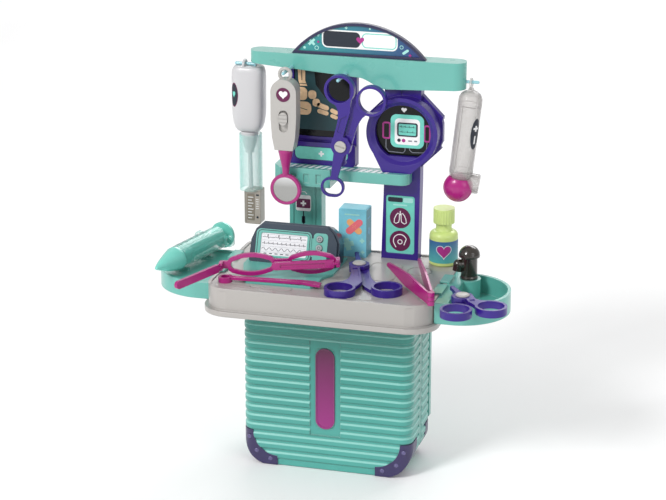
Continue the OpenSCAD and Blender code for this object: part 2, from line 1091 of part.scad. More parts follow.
module mirror_switch() {
    color([0.85, 0.84, 0.84])
        mirror_place()
            translate([0, 0, 364.5])
                difference() {
                    upright(-10, -4.8)
                        union() {
                            circle(4.5);
                            translate([-4.5, 0])
                                square([9, 5]);
                            translate([0, 5])
                                circle(4.5);
                        }
                    for (z = [-1.5, 2.5, 6.5])
                        translate([-6, -10.5, z - 0.4])
                            cube([12, 1.1, 0.8]);
                }
}

// Tapered stem and the ring that holds the mirror
module mirror_ring() {
    color(magenta)
        mirror_place() {
            difference() {
                rotate_extrude()
                    polygon([[0, 303], [3.4, 303], [4.2, 312], [8, 329], [8, 332], [0, 332]]);
                translate([0, 0, 287])
                    rotate([90, 0, 0])
                        cylinder(h = 40, r = 16.9, center = true);
            }
            translate([0, 0, 287])
                rotate([90, 0, 0])
                    rotate_extrude($fn = 64)
                        polygon([[13.6, -2.6], [16.6, -2.6], [17.2, -1.6], [17.2, 1.6],
                            [16.6, 2.6], [13.6, 2.6], [13.6, 0.6], [12.8, 0.6], [12.8, -1.6],
                            [13.6, -1.6]]);
        }
}

module mirror_glass() {
    color([0.85, 0.88, 0.90])
        mirror_place()
            translate([0, -0.6, 287])
                rotate([90, 0, 0])
                    cylinder(h = 1.2, r = 13.6, $fn = 64);
}

tube_y = 61;
tube_top = [129.4, tube_y, 404];
tube_tilt = 6.4;

module tube_place() {
    translate(tube_top)
        rotate([0, tube_tilt, 0])
            children();
}

module tube_body() {
    color([0.80, 0.80, 0.84, 0.6]) {
        difference() {
            union() {
                tube_place()
                    rotate_extrude()
                        polygon([[0, 0], [6, -1], [10.5, -4], [13, -9], [13, -46], [9.4, -72],
                            [8.4, -92], [9.6, -92], [9.6, -98], [0, -98]]);
                rod([120, tube_y, 307.6], [140.8, tube_y, 301], 5.4);
            }
            tube_place()
                rotate_extrude()
                    polygon([[0, -1.2], [5.6, -2.2], [9.6, -5], [11.8, -9.6], [11.8, -46],
                        [8.2, -72], [7.2, -99], [0, -99]]);
            rod([120, tube_y, 307.6], [143, tube_y, 300.3], 3.6);
        }
        translate([128.8, tube_y, 402.6])
            cylinder(h = 3.8, r1 = 4.5, r2 = 3);
        translate([128.8, tube_y, 411.8])
            rotate([0, 90, 0])
                rotate_extrude()
                    translate([5.2, 0])
                        circle(1.4);
    }
}

module tube_bulb() {
    color(magenta)
        difference() {
            translate([116.9, tube_y, 296.6])
                sphere(14.4);
            tube_place()
                translate([0, 0, -98])
                    cylinder(h = 60, r = 9.6);
            tube_place()
                translate([0, 0, -98])
                    cylinder(h = 60, r = 17);
            rod([118, tube_y, 308.2], [140.8, tube_y, 301], 5.4);
        }
}

// Things on the counter

ecg_tilt = 20;

// Local frame of the monitor's face: x across, z up along the face
module ecg_place() {
    translate([-50.5, -1, floor_z + 2.6])
        rotate([-ecg_tilt, 0, 0])
            children();
}

module ecg_outline(in) {
    polygon([[-50.5 + in, -12], [50.5 - in, -12], [49.5 - in, 27], [45 - in, 38 - in],
        [36, 44.7 - in], [-36, 44.7 - in], [-45 + in, 36 - in], [-49.5 + in, 24]]);
}

module ecg_case() {
    color([0.10, 0.16, 0.24])
        difference() {
            ecg_place() {
                upright(0, 26)
                    ecg_outline(2.2);
                upright(3, 23)
                    ecg_outline(0);
            }
            // seat of the bezel and the screen
            ecg_place() {
                upright(-2, 1.2)
                    translate([-43, 4.2])
                        round_rect(62, 32, 5);
                upright(-2, 1.2)
                    translate([21, 3])
                        round_rect(16, 33, 4);
                upright(-2, 1.2)
                    translate([18, 10])
                        square([4, 20]);
                for (z = [29.5, 20])
                    upright(-2, 8)
                        translate([28, z])
                            circle(3.9);
            }
            translate([-200, -100, 0])
                cube([300, 300, floor_z + 2.6]);
        }
}

module ecg_bezel() {
    color(mint)
        ecg_place() {
            difference() {
                upright(-0.8, 1.2)
                    translate([-43, 4.2])
                        round_rect(62, 32, 5);
                upright(-2, 2)
                    translate([-37.7, 8])
                        round_rect(52, 24, 2);
            }
            upright(0, 1.2)
                translate([18, 10])
                    square([4, 20]);
            difference() {
                upright(-0.4, 1.2)
                    translate([21, 3])
                        round_rect(16, 33, 4);
                for (z = [29.5, 20])
                    upright(-2, 2)
                        translate([28, z])
                            circle(3.9);
            }
        }
}

module ecg_screen() {
    color([0.93, 0.90, 0.93])
        ecg_place()
            upright(0.2, 1.2)
                translate([-37.7, 8])
                    round_rect(52, 24, 2);
}

module ecg_base() {
    color(mint)
        difference() {
            translate([0, 0, floor_z])
                linear_extrude(2.6)
                    polygon([[-82, -66], [-12, -66], [-8, -62], [-8, -34], [0, -20], [0, 38],
                        [-103, 38], [-103, -10], [-86, -62]]);
            translate([-50, -64, floor_z + 1.8])
                cube([26, 6, 2]);
        }
}

module ecg_button(z) {
    color(grey)
        ecg_place() {
            upright(-1.8, 2.6)
                translate([28, z])
                    circle(3.5);
            upright(-2.2, -1.8)
                translate([28, z])
                    circle(2.9);
        }
}

module ecg_button_up() {
    ecg_button(29.5);
}

module ecg_button_down() {
    ecg_button(20);
}

glasses_yaw = 10.9;
glasses_roll = 3.4;
glasses_w = 135.5;

// Local frame of the spectacles: x along the front from the left hinge
module glasses_place() {
    translate([-117.5, -57.4, 226.2])
        rotate([0, 0, glasses_yaw])
            rotate([0, -glasses_roll, 0])
                children();
}

// Oval rim: long flat arcs above and below, rounder ones at its ends
module rim_oval(in) {
    intersection() {
        translate([0, 39.5])
            circle(52 - in, $fn = 160);
        translate([0, -39.5])
            circle(52 - in, $fn = 160);
        translate([-20, -20])
            square([40, 40]);
    }
    for (s = [-1, 1])
        translate([s * 17, 0])
            circle(9.3 - in, $fn = 64);
}

lens_x = [37.4, 101.4];

module glasses_front() {
    color(magenta)
        glasses_place() {
            upright(-1.8, 1.8)
                difference() {
                    union() {
                        for (x = lens_x)
                            translate([x, 0])
                                rim_oval(0);
                        translate([60, 0])
                            square([21, 5]);
                        translate([4, -3.5])
                            square([14, 8]);
                        translate([glasses_w - 18, -3.5])
                            square([14, 8]);
                    }
                    for (x = lens_x)
                        translate([x, 0])
                            rim_oval(4.4);
                }
            // hinge lugs, one pair at each end, with their pins
            for (x = [5.5, glasses_w - 5.5]) {
                for (z = [-3.5, 2.1])
                    translate([x - 1.9, -9.5, z])
                        cube([3.8, 8, 2.4]);
                translate([x, -7.6, -3])
                    cylinder(h = 6, r = 0.9);
            }
        }
}

// Earpiece along -y from its hinge, slotted on the side given by m
module temple(m) {
    difference() {
        union() {
            translate([-1.9, -66, -4])
                cube([3.8, 61.6, 8.4]);
            translate([0, -66, 0.2])
                rotate([0, 90, 0])
                    cylinder(h = 3.8, r = 4.2, center = true);
            translate([0, 0, -0.8])
                cylinder(h = 2.6, r = 1.9);
            translate([-1.9, -4.6, -0.8])
                cube([3.8, 4.6, 2.6]);
        }
        translate([0, 0, -2])
            cylinder(h = 6, r = 1.2);
        translate([m > 0 ? 0.8 : -3, -61, -1.6])
            cube([2.2, 47, 3.4]);
    }
}

temple_splay = 34;

module temple_left() {
    color(magenta)
        glasses_place()
            translate([5.5, -7.6, 0])
                rotate([0, 0, -temple_splay])
                    temple(-1);
}

module temple_right() {
    color(magenta)
        glasses_place()
            translate([glasses_w - 5.5, -7.6, 0])
                rotate([0, 0, -88])
                    temple(1);
}

// Slim bar with a ring at one end and a blade at the other; the ring stands
// on the counter and the bar lies on the monitor's base plate
module spatula() {
    ring = [-105, -66];
    bar_low = 2.9;
    bar_t = 3;
    color(magenta)
        translate([0, 0, floor_z])
            difference() {
                union() {
                    translate([ring[0], ring[1], 0])
                        cylinder(h = bar_low + bar_t, r = 7.6);
                    translate([0, 0, bar_low])
                        linear_extrude(bar_t) {
                            arm([-100, -65.4], [-22, -59.4], 6, 7.4);
                            polygon([[-24, -56], [-9, -56.4], [-1, -60], [-1, -67], [-9, -66.5],
                                [-24, -62]]);
                        }
                }
                translate([ring[0], ring[1], -1])
                    cylinder(h = 10, r = 4.6);
                translate([0, 0, bar_low + bar_t - 0.8])
                    linear_extrude(3)
                        arm([-90, -64.6], [-28, -59.8], 2.6, 2.6);
            }
}

apex = [121.8, -84];

// The tweezers lie with their bend on the rim and their tips on the counter
module tweezer_place() {
    translate([apex[0], apex[1], top_z + 0.25])
        rotate([0, 0, 118])
            rotate([0, 0.5, 0])
                rotate([0, 0, -118])
                    children();
}

// One arm: a strip whose inner face runs past the pivot on the side given by m
module tweezer_strip(len, m) {
    translate([0, m > 0 ? 2.9 : -0.3, 0])
        rotate([90, 0, 0])
            linear_extrude(2.6)
                polygon([[0, 0.5], [len * 0.55, 0.5], [len, 7], [len + 1, 9], [len - 3, 12],
                    [len * 0.5, 16], [9, 13.2], [0, 13.2]]);
}

module tweezer_a() {
    color(magenta)
        tweezer_place() {
            difference() {
                union() {
                    cylinder(h = 14, r = 3.8);
                    rotate([0, 0, 125.8])
                        tweezer_strip(115, 1);
                }
                translate([0, 0, 4.6])
                    cylinder(h = 4.8, r = 4.4);
            }
            cylinder(h = 14, r = 1.5);
        }
}

module tweezer_b() {
    color(magenta)
        tweezer_place()
            difference() {
                union() {
                    translate([0, 0, 5])
                        cylinder(h = 4, r = 3.8);
                    rotate([0, 0, 110])
                        difference() {
                            tweezer_strip(122, -1);
                            translate([0, 0, -1])
                                cylinder(h = 5.8, r = 4.4);
                            translate([0, 0, 9.2])
                                cylinder(h = 9, r = 4.4);
                        }
                }
                translate([0, 0, -1])
                    cylinder(h = 30, r = 1.6);
            }
}

module plaster_box() {
    color([0.55, 0.83, 0.85])
        translate([-13, 50, floor_z]) {
            cube([31, 22, 53.4]);
            translate([1, 1, 53.4])
                cube([29, 20, 0.8]);
        }
}

bottle_at = [103, 55.5];

module pill_bottle() {
    color(lime)
        translate([bottle_at[0], bottle_at[1], floor_z])
            rotate_extrude($fn = 64)
                polygon(concat([[0, 0], [bottle_r - 1.6, 0], [bottle_r, 1.6], [bottle_r, 32]],
                    [for (a = [15 : 15 : 90])
                        [bottle_r - 6 + 6 * cos(a), 32 + 6 * sin(a)]],
                    [[8.6, 40.6], [8.6, 58], [7, 58], [7, 40], [bottle_r - 2.4, 31],
                     [bottle_r - 2.4, 2], [0, 2]]));
}

module pill_cap() {
    color(lime)
        translate([bottle_at[0], bottle_at[1], floor_z + 46.4])
            difference() {
                cylinder(h = 16.4, r = 11.5);
                translate([0, 0, -1])
                    cylinder(h = 13.2, r = 9);
                for (a = [0 : 15 : 345])
                    rotate([0, 0, a])
                        translate([12.2, 0, -1])
                            cylinder(h = 15, r = 1.2);
            }
}

// The syringe lies across the left tray
syr_tip = [-178.9, -75.4, left_top + barrel_r + 1.7];
syr_yaw = 13.3;

module syringe_place() {
    translate(syr_tip)
        rotate([0, 0, -syr_yaw])
            rotate([-90, 0, 0])
                children();
}

module syringe_barrel() {
    color([0.40, 0.68, 0.66, 0.6])
        syringe_place()
            difference() {
                union() {
                    translate([0, 0, 39])
                        cylinder(h = 83, r = barrel_r);
                    translate([0, 0, 116])
                        linear_extrude(3) {
                            for (s = [-1, 1])
                                translate([s * 19, 0])
                                    circle(6.4);
                            translate([-19, -5])
                                square([38, 10]);
                        }
                }
                translate([0, 0, 40.6])
                    cylinder(h = 90, r = barrel_r - 1.6);
                translate([0, 0, 36])
                    cylinder(h = 10, r = 5);
                for (s = [-1, 1])
                    translate([s * 19, 0, 110])
                        cylinder(h = 12, r = 4.2);
            }
}

module syringe_tip() {
    color(mint)
        syringe_place()
            rotate_extrude()
                polygon([[0, 0], [1.6, 0], [3, 3], [6.4, 12], [10.8, 27], [barrel_r, 36],
                    [barrel_r, 39], [0, 39]]);
}

// Cross-ribbed rod with a seal at one end and the thumb disc at the other
module syringe_plunger() {
    color(mint)
        syringe_place() {
            translate([0, 0, 53])
                cylinder(h = 5, r = barrel_r - 2);
            translate([-7, -1.2, 57])
                cube([14, 2.4, 76.5]);
            translate([-1.2, -7, 57])
                cube([2.4, 14, 76.5]);
            translate([0, 0, 133])
                difference() {
                    cylinder(h = 3, r = 14.6);
                    translate([0, 0, 2])
                        cylinder(h = 3, r = 11.4);
                }
        }
}

rear_shell();
back_panel();
rear_guards();
door_pins();
table_base();
left_upright();
shelf();
xray_frame();
xray_screen();
right_upright();
round_panel();
canopy();
sign_frame();
sign_panel();
hooks();
front_shell();
plaque();
front_guards();
left_tray();
sink_tray();
tap_body();
tap_knob();
sink_clamp_a();
sink_clamp_b();
sink_clamp_cap();
syringe_barrel();
syringe_tip();
syringe_plunger();
iv_bottle();
iv_neck();
iv_tube();
iv_sleeve();
iv_regulator();
mirror_handle();
mirror_ring();
mirror_glass();
mirror_switch();
clamp_a();
clamp_b();
clamp_screw();
tube_body();
tube_bulb();
ecg_case();
ecg_bezel();
ecg_screen();
ecg_base();
ecg_button_up();
ecg_button_down();
glasses_front();
temple_left();
temple_right();
spatula();
table_clamp_a();
table_clamp_b();
table_clamp_cap();
tweezer_a();
tweezer_b();
plaster_box();
pill_bottle();
pill_cap();
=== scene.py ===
"""Toy doctor case: moulded plastic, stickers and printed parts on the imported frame.

Shapes are in millimetres in the frame's axes: x to the right, y to the back, z up. The camera,
the lights and the heights inside materials are in metres.
"""
import json
import math

import bmesh
import bpy
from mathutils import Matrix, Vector

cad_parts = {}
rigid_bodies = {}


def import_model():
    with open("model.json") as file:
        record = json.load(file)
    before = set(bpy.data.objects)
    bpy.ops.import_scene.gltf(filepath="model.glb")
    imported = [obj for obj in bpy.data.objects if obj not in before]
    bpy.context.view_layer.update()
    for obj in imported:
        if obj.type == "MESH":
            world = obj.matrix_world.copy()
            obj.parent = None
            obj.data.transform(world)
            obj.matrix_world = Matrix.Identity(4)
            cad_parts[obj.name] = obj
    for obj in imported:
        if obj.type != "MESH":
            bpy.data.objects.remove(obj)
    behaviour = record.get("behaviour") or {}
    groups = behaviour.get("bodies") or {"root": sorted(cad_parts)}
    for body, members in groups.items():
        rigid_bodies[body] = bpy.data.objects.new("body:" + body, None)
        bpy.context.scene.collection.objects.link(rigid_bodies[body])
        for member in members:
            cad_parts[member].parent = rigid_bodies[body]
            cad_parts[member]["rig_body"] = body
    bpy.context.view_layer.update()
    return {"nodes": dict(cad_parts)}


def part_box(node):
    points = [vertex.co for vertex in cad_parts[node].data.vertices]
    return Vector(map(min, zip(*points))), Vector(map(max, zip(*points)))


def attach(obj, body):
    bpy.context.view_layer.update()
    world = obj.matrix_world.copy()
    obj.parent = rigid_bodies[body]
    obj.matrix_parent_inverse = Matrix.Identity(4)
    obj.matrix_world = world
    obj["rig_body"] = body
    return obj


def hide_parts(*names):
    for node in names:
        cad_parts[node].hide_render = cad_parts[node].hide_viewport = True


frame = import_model()
NODES = frame["nodes"]
MM = 0.001
scene = bpy.context.scene
scene.view_settings.view_transform = "Standard"

# Camera, solved against the photograph
LOOK_AT = Vector((-0.00544, 0.0, 0.23484))
AZIMUTH = math.radians(15.65)
ELEVATION = math.radians(18.13)
DISTANCE = 2.3506
LENS = 118.92
SENSOR_WIDTH = 36.0
VIEW_END = 50.0

# Lights: place, size, power, colour and the point that they face
TOY_MIDDLE = (0.0, 0.0, 0.25)
FLOOR_BEHIND = (-1.1, 3.6, 0.0)
WHITE = (1.0, 1.0, 1.0)
LIGHTS = {
    "key_light": ((-1.1, -1.9, 1.9), 0.8, 46.0, WHITE, TOY_MIDDLE),
    "fill_light": ((1.9, -1.3, 1.2), 1.4, 8.0, (0.97, 0.98, 1.0), TOY_MIDDLE),
    "rim_light": ((0.6, 1.8, 1.8), 1.2, 14.0, WHITE, TOY_MIDDLE),
    "floor_light": ((-0.9, 4.2, 2.6), 2.4, 60.0, WHITE, FLOOR_BEHIND),
}
STUDIO_BRIGHTNESS = 0.56

# Floor: half its width, and how far it lies under the case, so that no two faces coincide
FLOOR_HALF = 8.0
FLOOR_GAP = 0.0006


def aim(obj, target):
    """Turns a camera or light towards a point."""
    obj.rotation_euler = (target - obj.location).to_track_quat("-Z", "Y").to_euler()


def add_camera():
    data = bpy.data.cameras.new("camera")
    data.lens = LENS
    data.sensor_width = SENSOR_WIDTH
    data.clip_end = VIEW_END
    camera = bpy.data.objects.new("camera", data)
    scene.collection.objects.link(camera)
    flat = math.cos(ELEVATION)
    away = Vector((math.sin(AZIMUTH) * flat, -math.cos(AZIMUTH) * flat, math.sin(ELEVATION)))
    camera.location = LOOK_AT + DISTANCE * away
    aim(camera, LOOK_AT)
    scene.camera = camera


def add_lights():
    for name, (place, size, power, colour, facing) in LIGHTS.items():
        data = bpy.data.lights.new(name, "AREA")
        data.shape = "DISK"
        data.size = size
        data.energy = power
        data.color = colour
        light = bpy.data.objects.new(name, data)
        scene.collection.objects.link(light)
        light.location = Vector(place)
        aim(light, Vector(facing))


def add_world():
    world = bpy.data.worlds.new("studio")
    scene.world = world
    world.use_nodes = True
    background = world.node_tree.nodes["Background"]
    background.inputs["Color"].default_value = (*WHITE, 1.0)
    background.inputs["Strength"].default_value = STUDIO_BRIGHTNESS


def lin(rgb):
    """8-bit screen colour to linear, by the sRGB curve."""
    return [c / 12.92 if c <= 0.04045 else ((c + 0.055) / 1.055) ** 2.4
            for c in (value / 255.0 for value in rgb)]


def scaled(col, k):
    """Linear colour made lighter or darker, with alpha."""
    return (*(min(c * k, 1.0) for c in col), 1.0)


def around(col, tint):
    """A colour's darker and lighter neighbour."""
    return scaled(col, 1.0 - tint), scaled(col, 1.0 + tint)


class Look:
    """Node tree of one material, with short calls for the nodes used here."""

    # Sockets of the Mix node for colours, and the cosine between the rounded and the flat
    # normal at which an edge counts in full
    MIX_A, MIX_B, MIX_OUT = 6, 7, 2
    FULL_EDGE = 0.75

    def __init__(self, name):
        self.mat = bpy.data.materials.new(name)
        self.mat.use_nodes = True
        self.tree = self.mat.node_tree
        self.bsdf = self.tree.nodes["Principled BSDF"]
        self.coord = self.add("ShaderNodeTexCoord").outputs["Object"]

    def add(self, kind, **values):
        node = self.tree.nodes.new(kind)
        for key, value in values.items():
            setattr(node, key, value)
        return node

    def feed(self, value, socket):
        """Links another node's output to a socket, or sets a plain value on it."""
        if hasattr(value, "is_linked"):
            self.tree.links.new(value, socket)
        else:
            socket.default_value = value

    def shade(self, **values):
        """Feeds the shader's own sockets; a name's underscores stand for spaces."""
        for key, value in values.items():
            self.feed(value, self.bsdf.inputs[key.replace("_", " ")])

    def calc(self, operation, *values):
        node = self.add("ShaderNodeMath", operation=operation)
        for value, socket in zip(values, node.inputs):
            self.feed(value, socket)
        return node.outputs[0]

    def noise(self, scale, detail=2.0, rough=0.5):
        """Noise of so many waves per metre."""
        node = self.add("ShaderNodeTexNoise")
        node.inputs["Scale"].default_value = scale
        node.inputs["Detail"].default_value = detail
        node.inputs["Roughness"].default_value = rough
        self.feed(self.coord, node.inputs["Vector"])
        return node.outputs["Fac"]

    def ramp(self, fac, low, high, pos=(0.3, 0.7)):
        node = self.add("ShaderNodeValToRGB")
        for stop, place, colour in zip(node.color_ramp.elements, pos, (low, high)):
            stop.position = place
            stop.color = colour
        self.feed(fac, node.inputs["Fac"])
        return node.outputs["Color"]

    def spread(self, fac, low, high, start=0.0, end=1.0):
        """Maps start to end onto low to high."""
        node = self.add("ShaderNodeMapRange")
        node.inputs["From Min"].default_value = start
        node.inputs["From Max"].default_value = end
        node.inputs["To Min"].default_value = low
        node.inputs["To Max"].default_value = high
        self.feed(fac, node.inputs["Value"])
        return node.outputs["Result"]

    def mix(self, fac, a, b, blend="MIX"):
        node = self.add("ShaderNodeMix", data_type="RGBA", blend_type=blend)
        self.feed(fac, node.inputs[0])
        self.feed(a, node.inputs[self.MIX_A])
        self.feed(b, node.inputs[self.MIX_B])
        return node.outputs[self.MIX_OUT]

    def part_of(self, vector, axis):
        node = self.add("ShaderNodeSeparateXYZ")
        self.feed(vector, node.inputs["Vector"])
        return node.outputs[axis]

    def axis(self, which):
        return self.part_of(self.coord, which)

    def normal(self):
        return self.add("ShaderNodeNewGeometry").outputs["Normal"]

    def edges(self, radius):
        """Rounded normal, and how much it leaves the flat one: 1 on an edge."""
        bevel = self.add("ShaderNodeBevel", samples=4)
        bevel.inputs["Radius"].default_value = radius
        rounded = bevel.outputs["Normal"]
        dot = self.add("ShaderNodeVectorMath", operation="DOT_PRODUCT")
        self.feed(rounded, dot.inputs[0])
        self.feed(self.normal(), dot.inputs[1])
        return rounded, self.spread(dot.outputs["Value"], 1.0, 0.0, self.FULL_EDGE, 1.0)

    def band(self, fac, start, end, most, soft=0.05):
        """Soft-edged band of a value between start and end."""
        node = self.add("ShaderNodeValToRGB")
        stops = node.color_ramp.elements
        for stop, place in zip(stops, (start - soft, end + soft)):
            stop.position = place
            stop.color = (0, 0, 0, 1)
        for place in (start, end):
            stops.new(place).color = (most, most, most, 1)
        self.feed(fac, node.inputs["Fac"])
        return node.outputs["Color"]

    def bump(self, height, strength, distance, normal=None):
        node = self.add("ShaderNodeBump")
        node.inputs["Strength"].default_value = strength
        node.inputs["Distance"].default_value = distance
        self.feed(height, node.inputs["Height"])
        if normal is not None:
            self.feed(normal, node.inputs["Normal"])
        self.shade(Normal=node.outputs["Normal"])


# Painted highlight on a rib's upper bevel and painted shade on its lower one, as parts of the step
# from one crest to the next: start, end, strength and which way their face looks (1 up, -1 down)
RIB_HIGHLIGHT_BAND = (0.19, 0.38, 0.75, 1)
RIB_SHADE_BAND = (0.62, 0.78, 0.4, -1)
# Slope of the face, as its normal's z, from which a mark starts and at which it is full
SLOPE_START, SLOPE_FULL = 0.05, 0.2
# Steps that are counted upwards from the first crest, more than the case has ribs
RIBS_COUNTED = 100.0

# Plastic: noises in waves per metre, height of the grain, and how much paler the edges are made, partly
# as wear and partly as painted highlight
FLOW, GLOSS_PATCHES, EDGE_PATCHES, GRAIN = 9.0, 45.0, 160.0, 1400.0
GRAIN_HEIGHT = 0.00012
EDGE_PALER = 0.45
PLASTIC_IOR, COAT_ROUGHNESS = 1.49, 0.12
GLOW_DEPTH = 0.004

# Print: its dots, patches of gloss and grain in waves per metre, and the grain's height
PRINT_DOTS, PRINT_GLOSS, PRINT_GRAIN = 240.0, 500.0, 900.0
PRINT_HEIGHT = 0.00005


def rib_highlight_and_shade(look, base, crest, step, pale, painted_shade):
    """Ribs with painted highlight on their upper bevels and painted shade on their lower ones; flat walls
    keep the base colour.
    """
    height = look.spread(look.axis("Z"), 0.0, RIBS_COUNTED, crest, crest + RIBS_COUNTED * step)
    place = look.calc("FRACT", height)
    up = look.part_of(look.normal(), "Z")
    for (start, end, most, way), colour in ((RIB_HIGHLIGHT_BAND, pale), (RIB_SHADE_BAND, painted_shade)):
        facing = look.spread(up, 0.0, 1.0, SLOPE_START * way, SLOPE_FULL * way)
        mask = look.calc("MULTIPLY", facing, look.band(place, start, end, most))
        base = look.mix(mask, base, (*lin(colour), 1.0))
    return base


def plastic(name, rgb, rough=0.32, tint=0.05, radius=0.0006, wear_and_highlight=0.35, shine=0.25,
            soft=0.0, grain=0.10, fade=None, ribs=None):
    """Moulded plastic: faint flow marks in the colour, fine grain, paler edges that are partly wear and
    partly painted highlight.

    fade is a second colour and the heights between which it takes over. ribs is the height of
    one crest, the step to the next, the colour of the painted highlight and that of the painted shade.
    """
    look = Look(name)
    col = lin(rgb)
    flow = look.noise(FLOW, 3.0)
    base = look.ramp(flow, *around(col, tint))
    if fade:
        other, fade_start, fade_end = fade
        second = look.ramp(flow, *around(lin(other), tint))
        base = look.mix(look.spread(look.axis("Z"), 0.0, 1.0, fade_start, fade_end), base, second)
    # Painted highlight and painted shade on the ribs' bevels
    if ribs:
        base = rib_highlight_and_shade(look, base, *ribs)
    normal, edge = look.edges(radius)
    # Paler edges, broken up by noise: partly wear, partly painted highlight
    edge_patches = look.spread(look.noise(EDGE_PATCHES, 4.0, 0.7), wear_and_highlight * 0.5, wear_and_highlight)
    pale = [c + (1.0 - c) * EDGE_PALER for c in col]
    worn_and_lit = look.mix(look.calc("MULTIPLY", edge, edge_patches), base, (*pale, 1.0))
    look.shade(Base_Color=worn_and_lit, IOR=PLASTIC_IOR, Coat_Weight=shine, Coat_Roughness=COAT_ROUGHNESS,
               Roughness=look.spread(look.noise(GLOSS_PATCHES, 3.0), rough - 0.05, rough + 0.07))
    look.bump(look.noise(GRAIN), grain, GRAIN_HEIGHT, normal)
    if soft:
        look.shade(Subsurface_Weight=soft, Subsurface_Scale=GLOW_DEPTH, Subsurface_Radius=WHITE)
    return look.mat


def printed(name, rgb, rough=0.45, tint=0.04, gloss=0.5):
    """Ink on a gloss label, with the faint unevenness of print."""
    look = Look(name)
    look.shade(Base_Color=look.ramp(look.noise(PRINT_DOTS, 3.0), *around(lin(rgb), tint)),
               Roughness=look.spread(look.noise(PRINT_GLOSS), rough - 0.06, rough + 0.06),
               Specular_IOR_Level=gloss)
    look.bump(look.noise(PRINT_GRAIN), 0.05, PRINT_HEIGHT)
    return look.mat


def gradient(name, rgb_low, rgb_high, which, start, end, rough=0.4):
    """Label that fades from one colour to another along an axis."""
    look = Look(name)
    along = look.spread(look.axis(which), 0.0, 1.0, start, end)
    mixed = look.ramp(along, (*lin(rgb_low), 1.0), (*lin(rgb_high), 1.0), (0.0, 1.0))
    speck = look.ramp(look.noise(300.0), (0.96, 0.96, 0.96, 1.0), (*WHITE, 1.0))
    look.shade(Base_Color=look.mix(1.0, mixed, speck, "MULTIPLY"),
               Roughness=look.spread(look.noise(60.0), rough - 0.05, rough + 0.05))
    return look.mat


def clear(name, rgb, edge_rgb, alpha, rough=0.1):
    """Thin see-through plastic: denser and of its edge colour where it is seen edge-on."""
    look = Look(name)
    weight = look.add("ShaderNodeLayerWeight")
    weight.inputs["Blend"].default_value = 0.35
    grazing = weight.outputs["Facing"]
    flow = look.ramp(look.noise(12.0, 3.0), *around(lin(rgb), 0.03))
    look.shade(Base_Color=look.mix(grazing, flow, (*lin(edge_rgb), 1.0)),
               Alpha=look.spread(grazing, alpha, min(alpha + 0.5, 1.0)),
               Roughness=look.spread(look.noise(50.0), rough - 0.03, rough + 0.05),
               IOR=1.45, Coat_Weight=0.5, Coat_Roughness=0.05)
    look.bump(look.noise(700.0), 0.04, 0.0001)
    return look.mat


def mirror_metal(name, start, end):
    """Polished disc with a painted reflection: bright at the top, falling off to dark at the bottom; its
    surface is slightly uneven.
    """
    look = Look(name)
    height = look.spread(look.axis("Z"), 0.0, 1.0, start, end)
    look.shade(Base_Color=look.ramp(height, (0.34, 0.34, 0.33, 1), (0.86, 0.86, 0.88, 1), (0.15, 0.9)),
               Metallic=1.0, Roughness=look.spread(look.noise(80.0), 0.16, 0.24))
    look.bump(look.noise(60.0), 0.05, 0.0003)
    return look.mat


def floor_paper(name):
    """Nearly white sheet with the faintest clouds."""
    look = Look(name)
    look.shade(Base_Color=look.ramp(look.noise(3.0), (0.92, 0.92, 0.92, 1), (0.95, 0.95, 0.95, 1)),
               Roughness=look.spread(look.noise(20.0), 0.7, 0.85))
    return look.mat


def add_floor():
    half = FLOOR_HALF
    mesh = bpy.data.meshes.new("floor")
    corners = [(-half, -half, 0), (half, -half, 0), (half, half, 0), (-half, half, 0)]
    mesh.from_pydata(corners, [], [(0, 1, 2, 3)])
    mesh.materials.append(floor_paper("floor_paper"))
    floor = bpy.data.objects.new("floor", mesh)
    scene.collection.objects.link(floor)
    floor.location.z = -FLOOR_GAP


# Colours are 8-bit, chosen so that the lit picture matches the photograph
MINT = (98, 176, 165)
# Case colour darkens towards the top: painted shade
CASE_LOW, CASE_TOP_SHADE = (78, 164, 154), (26, 128, 116)
# Rib colours: painted highlight on the upper bevels, painted shade on the lower ones
RIB_HIGHLIGHT_RGB, RIB_SHADE_RGB = (146, 212, 202), (30, 110, 100)
RIB_CREST, RIB_STEP = 0.00054, 0.01041
# Plaque colour darkens towards the top: painted shade
PLAQUE_LOW, PLAQUE_TOP_SHADE = (148, 36, 120), (90, 4, 66)

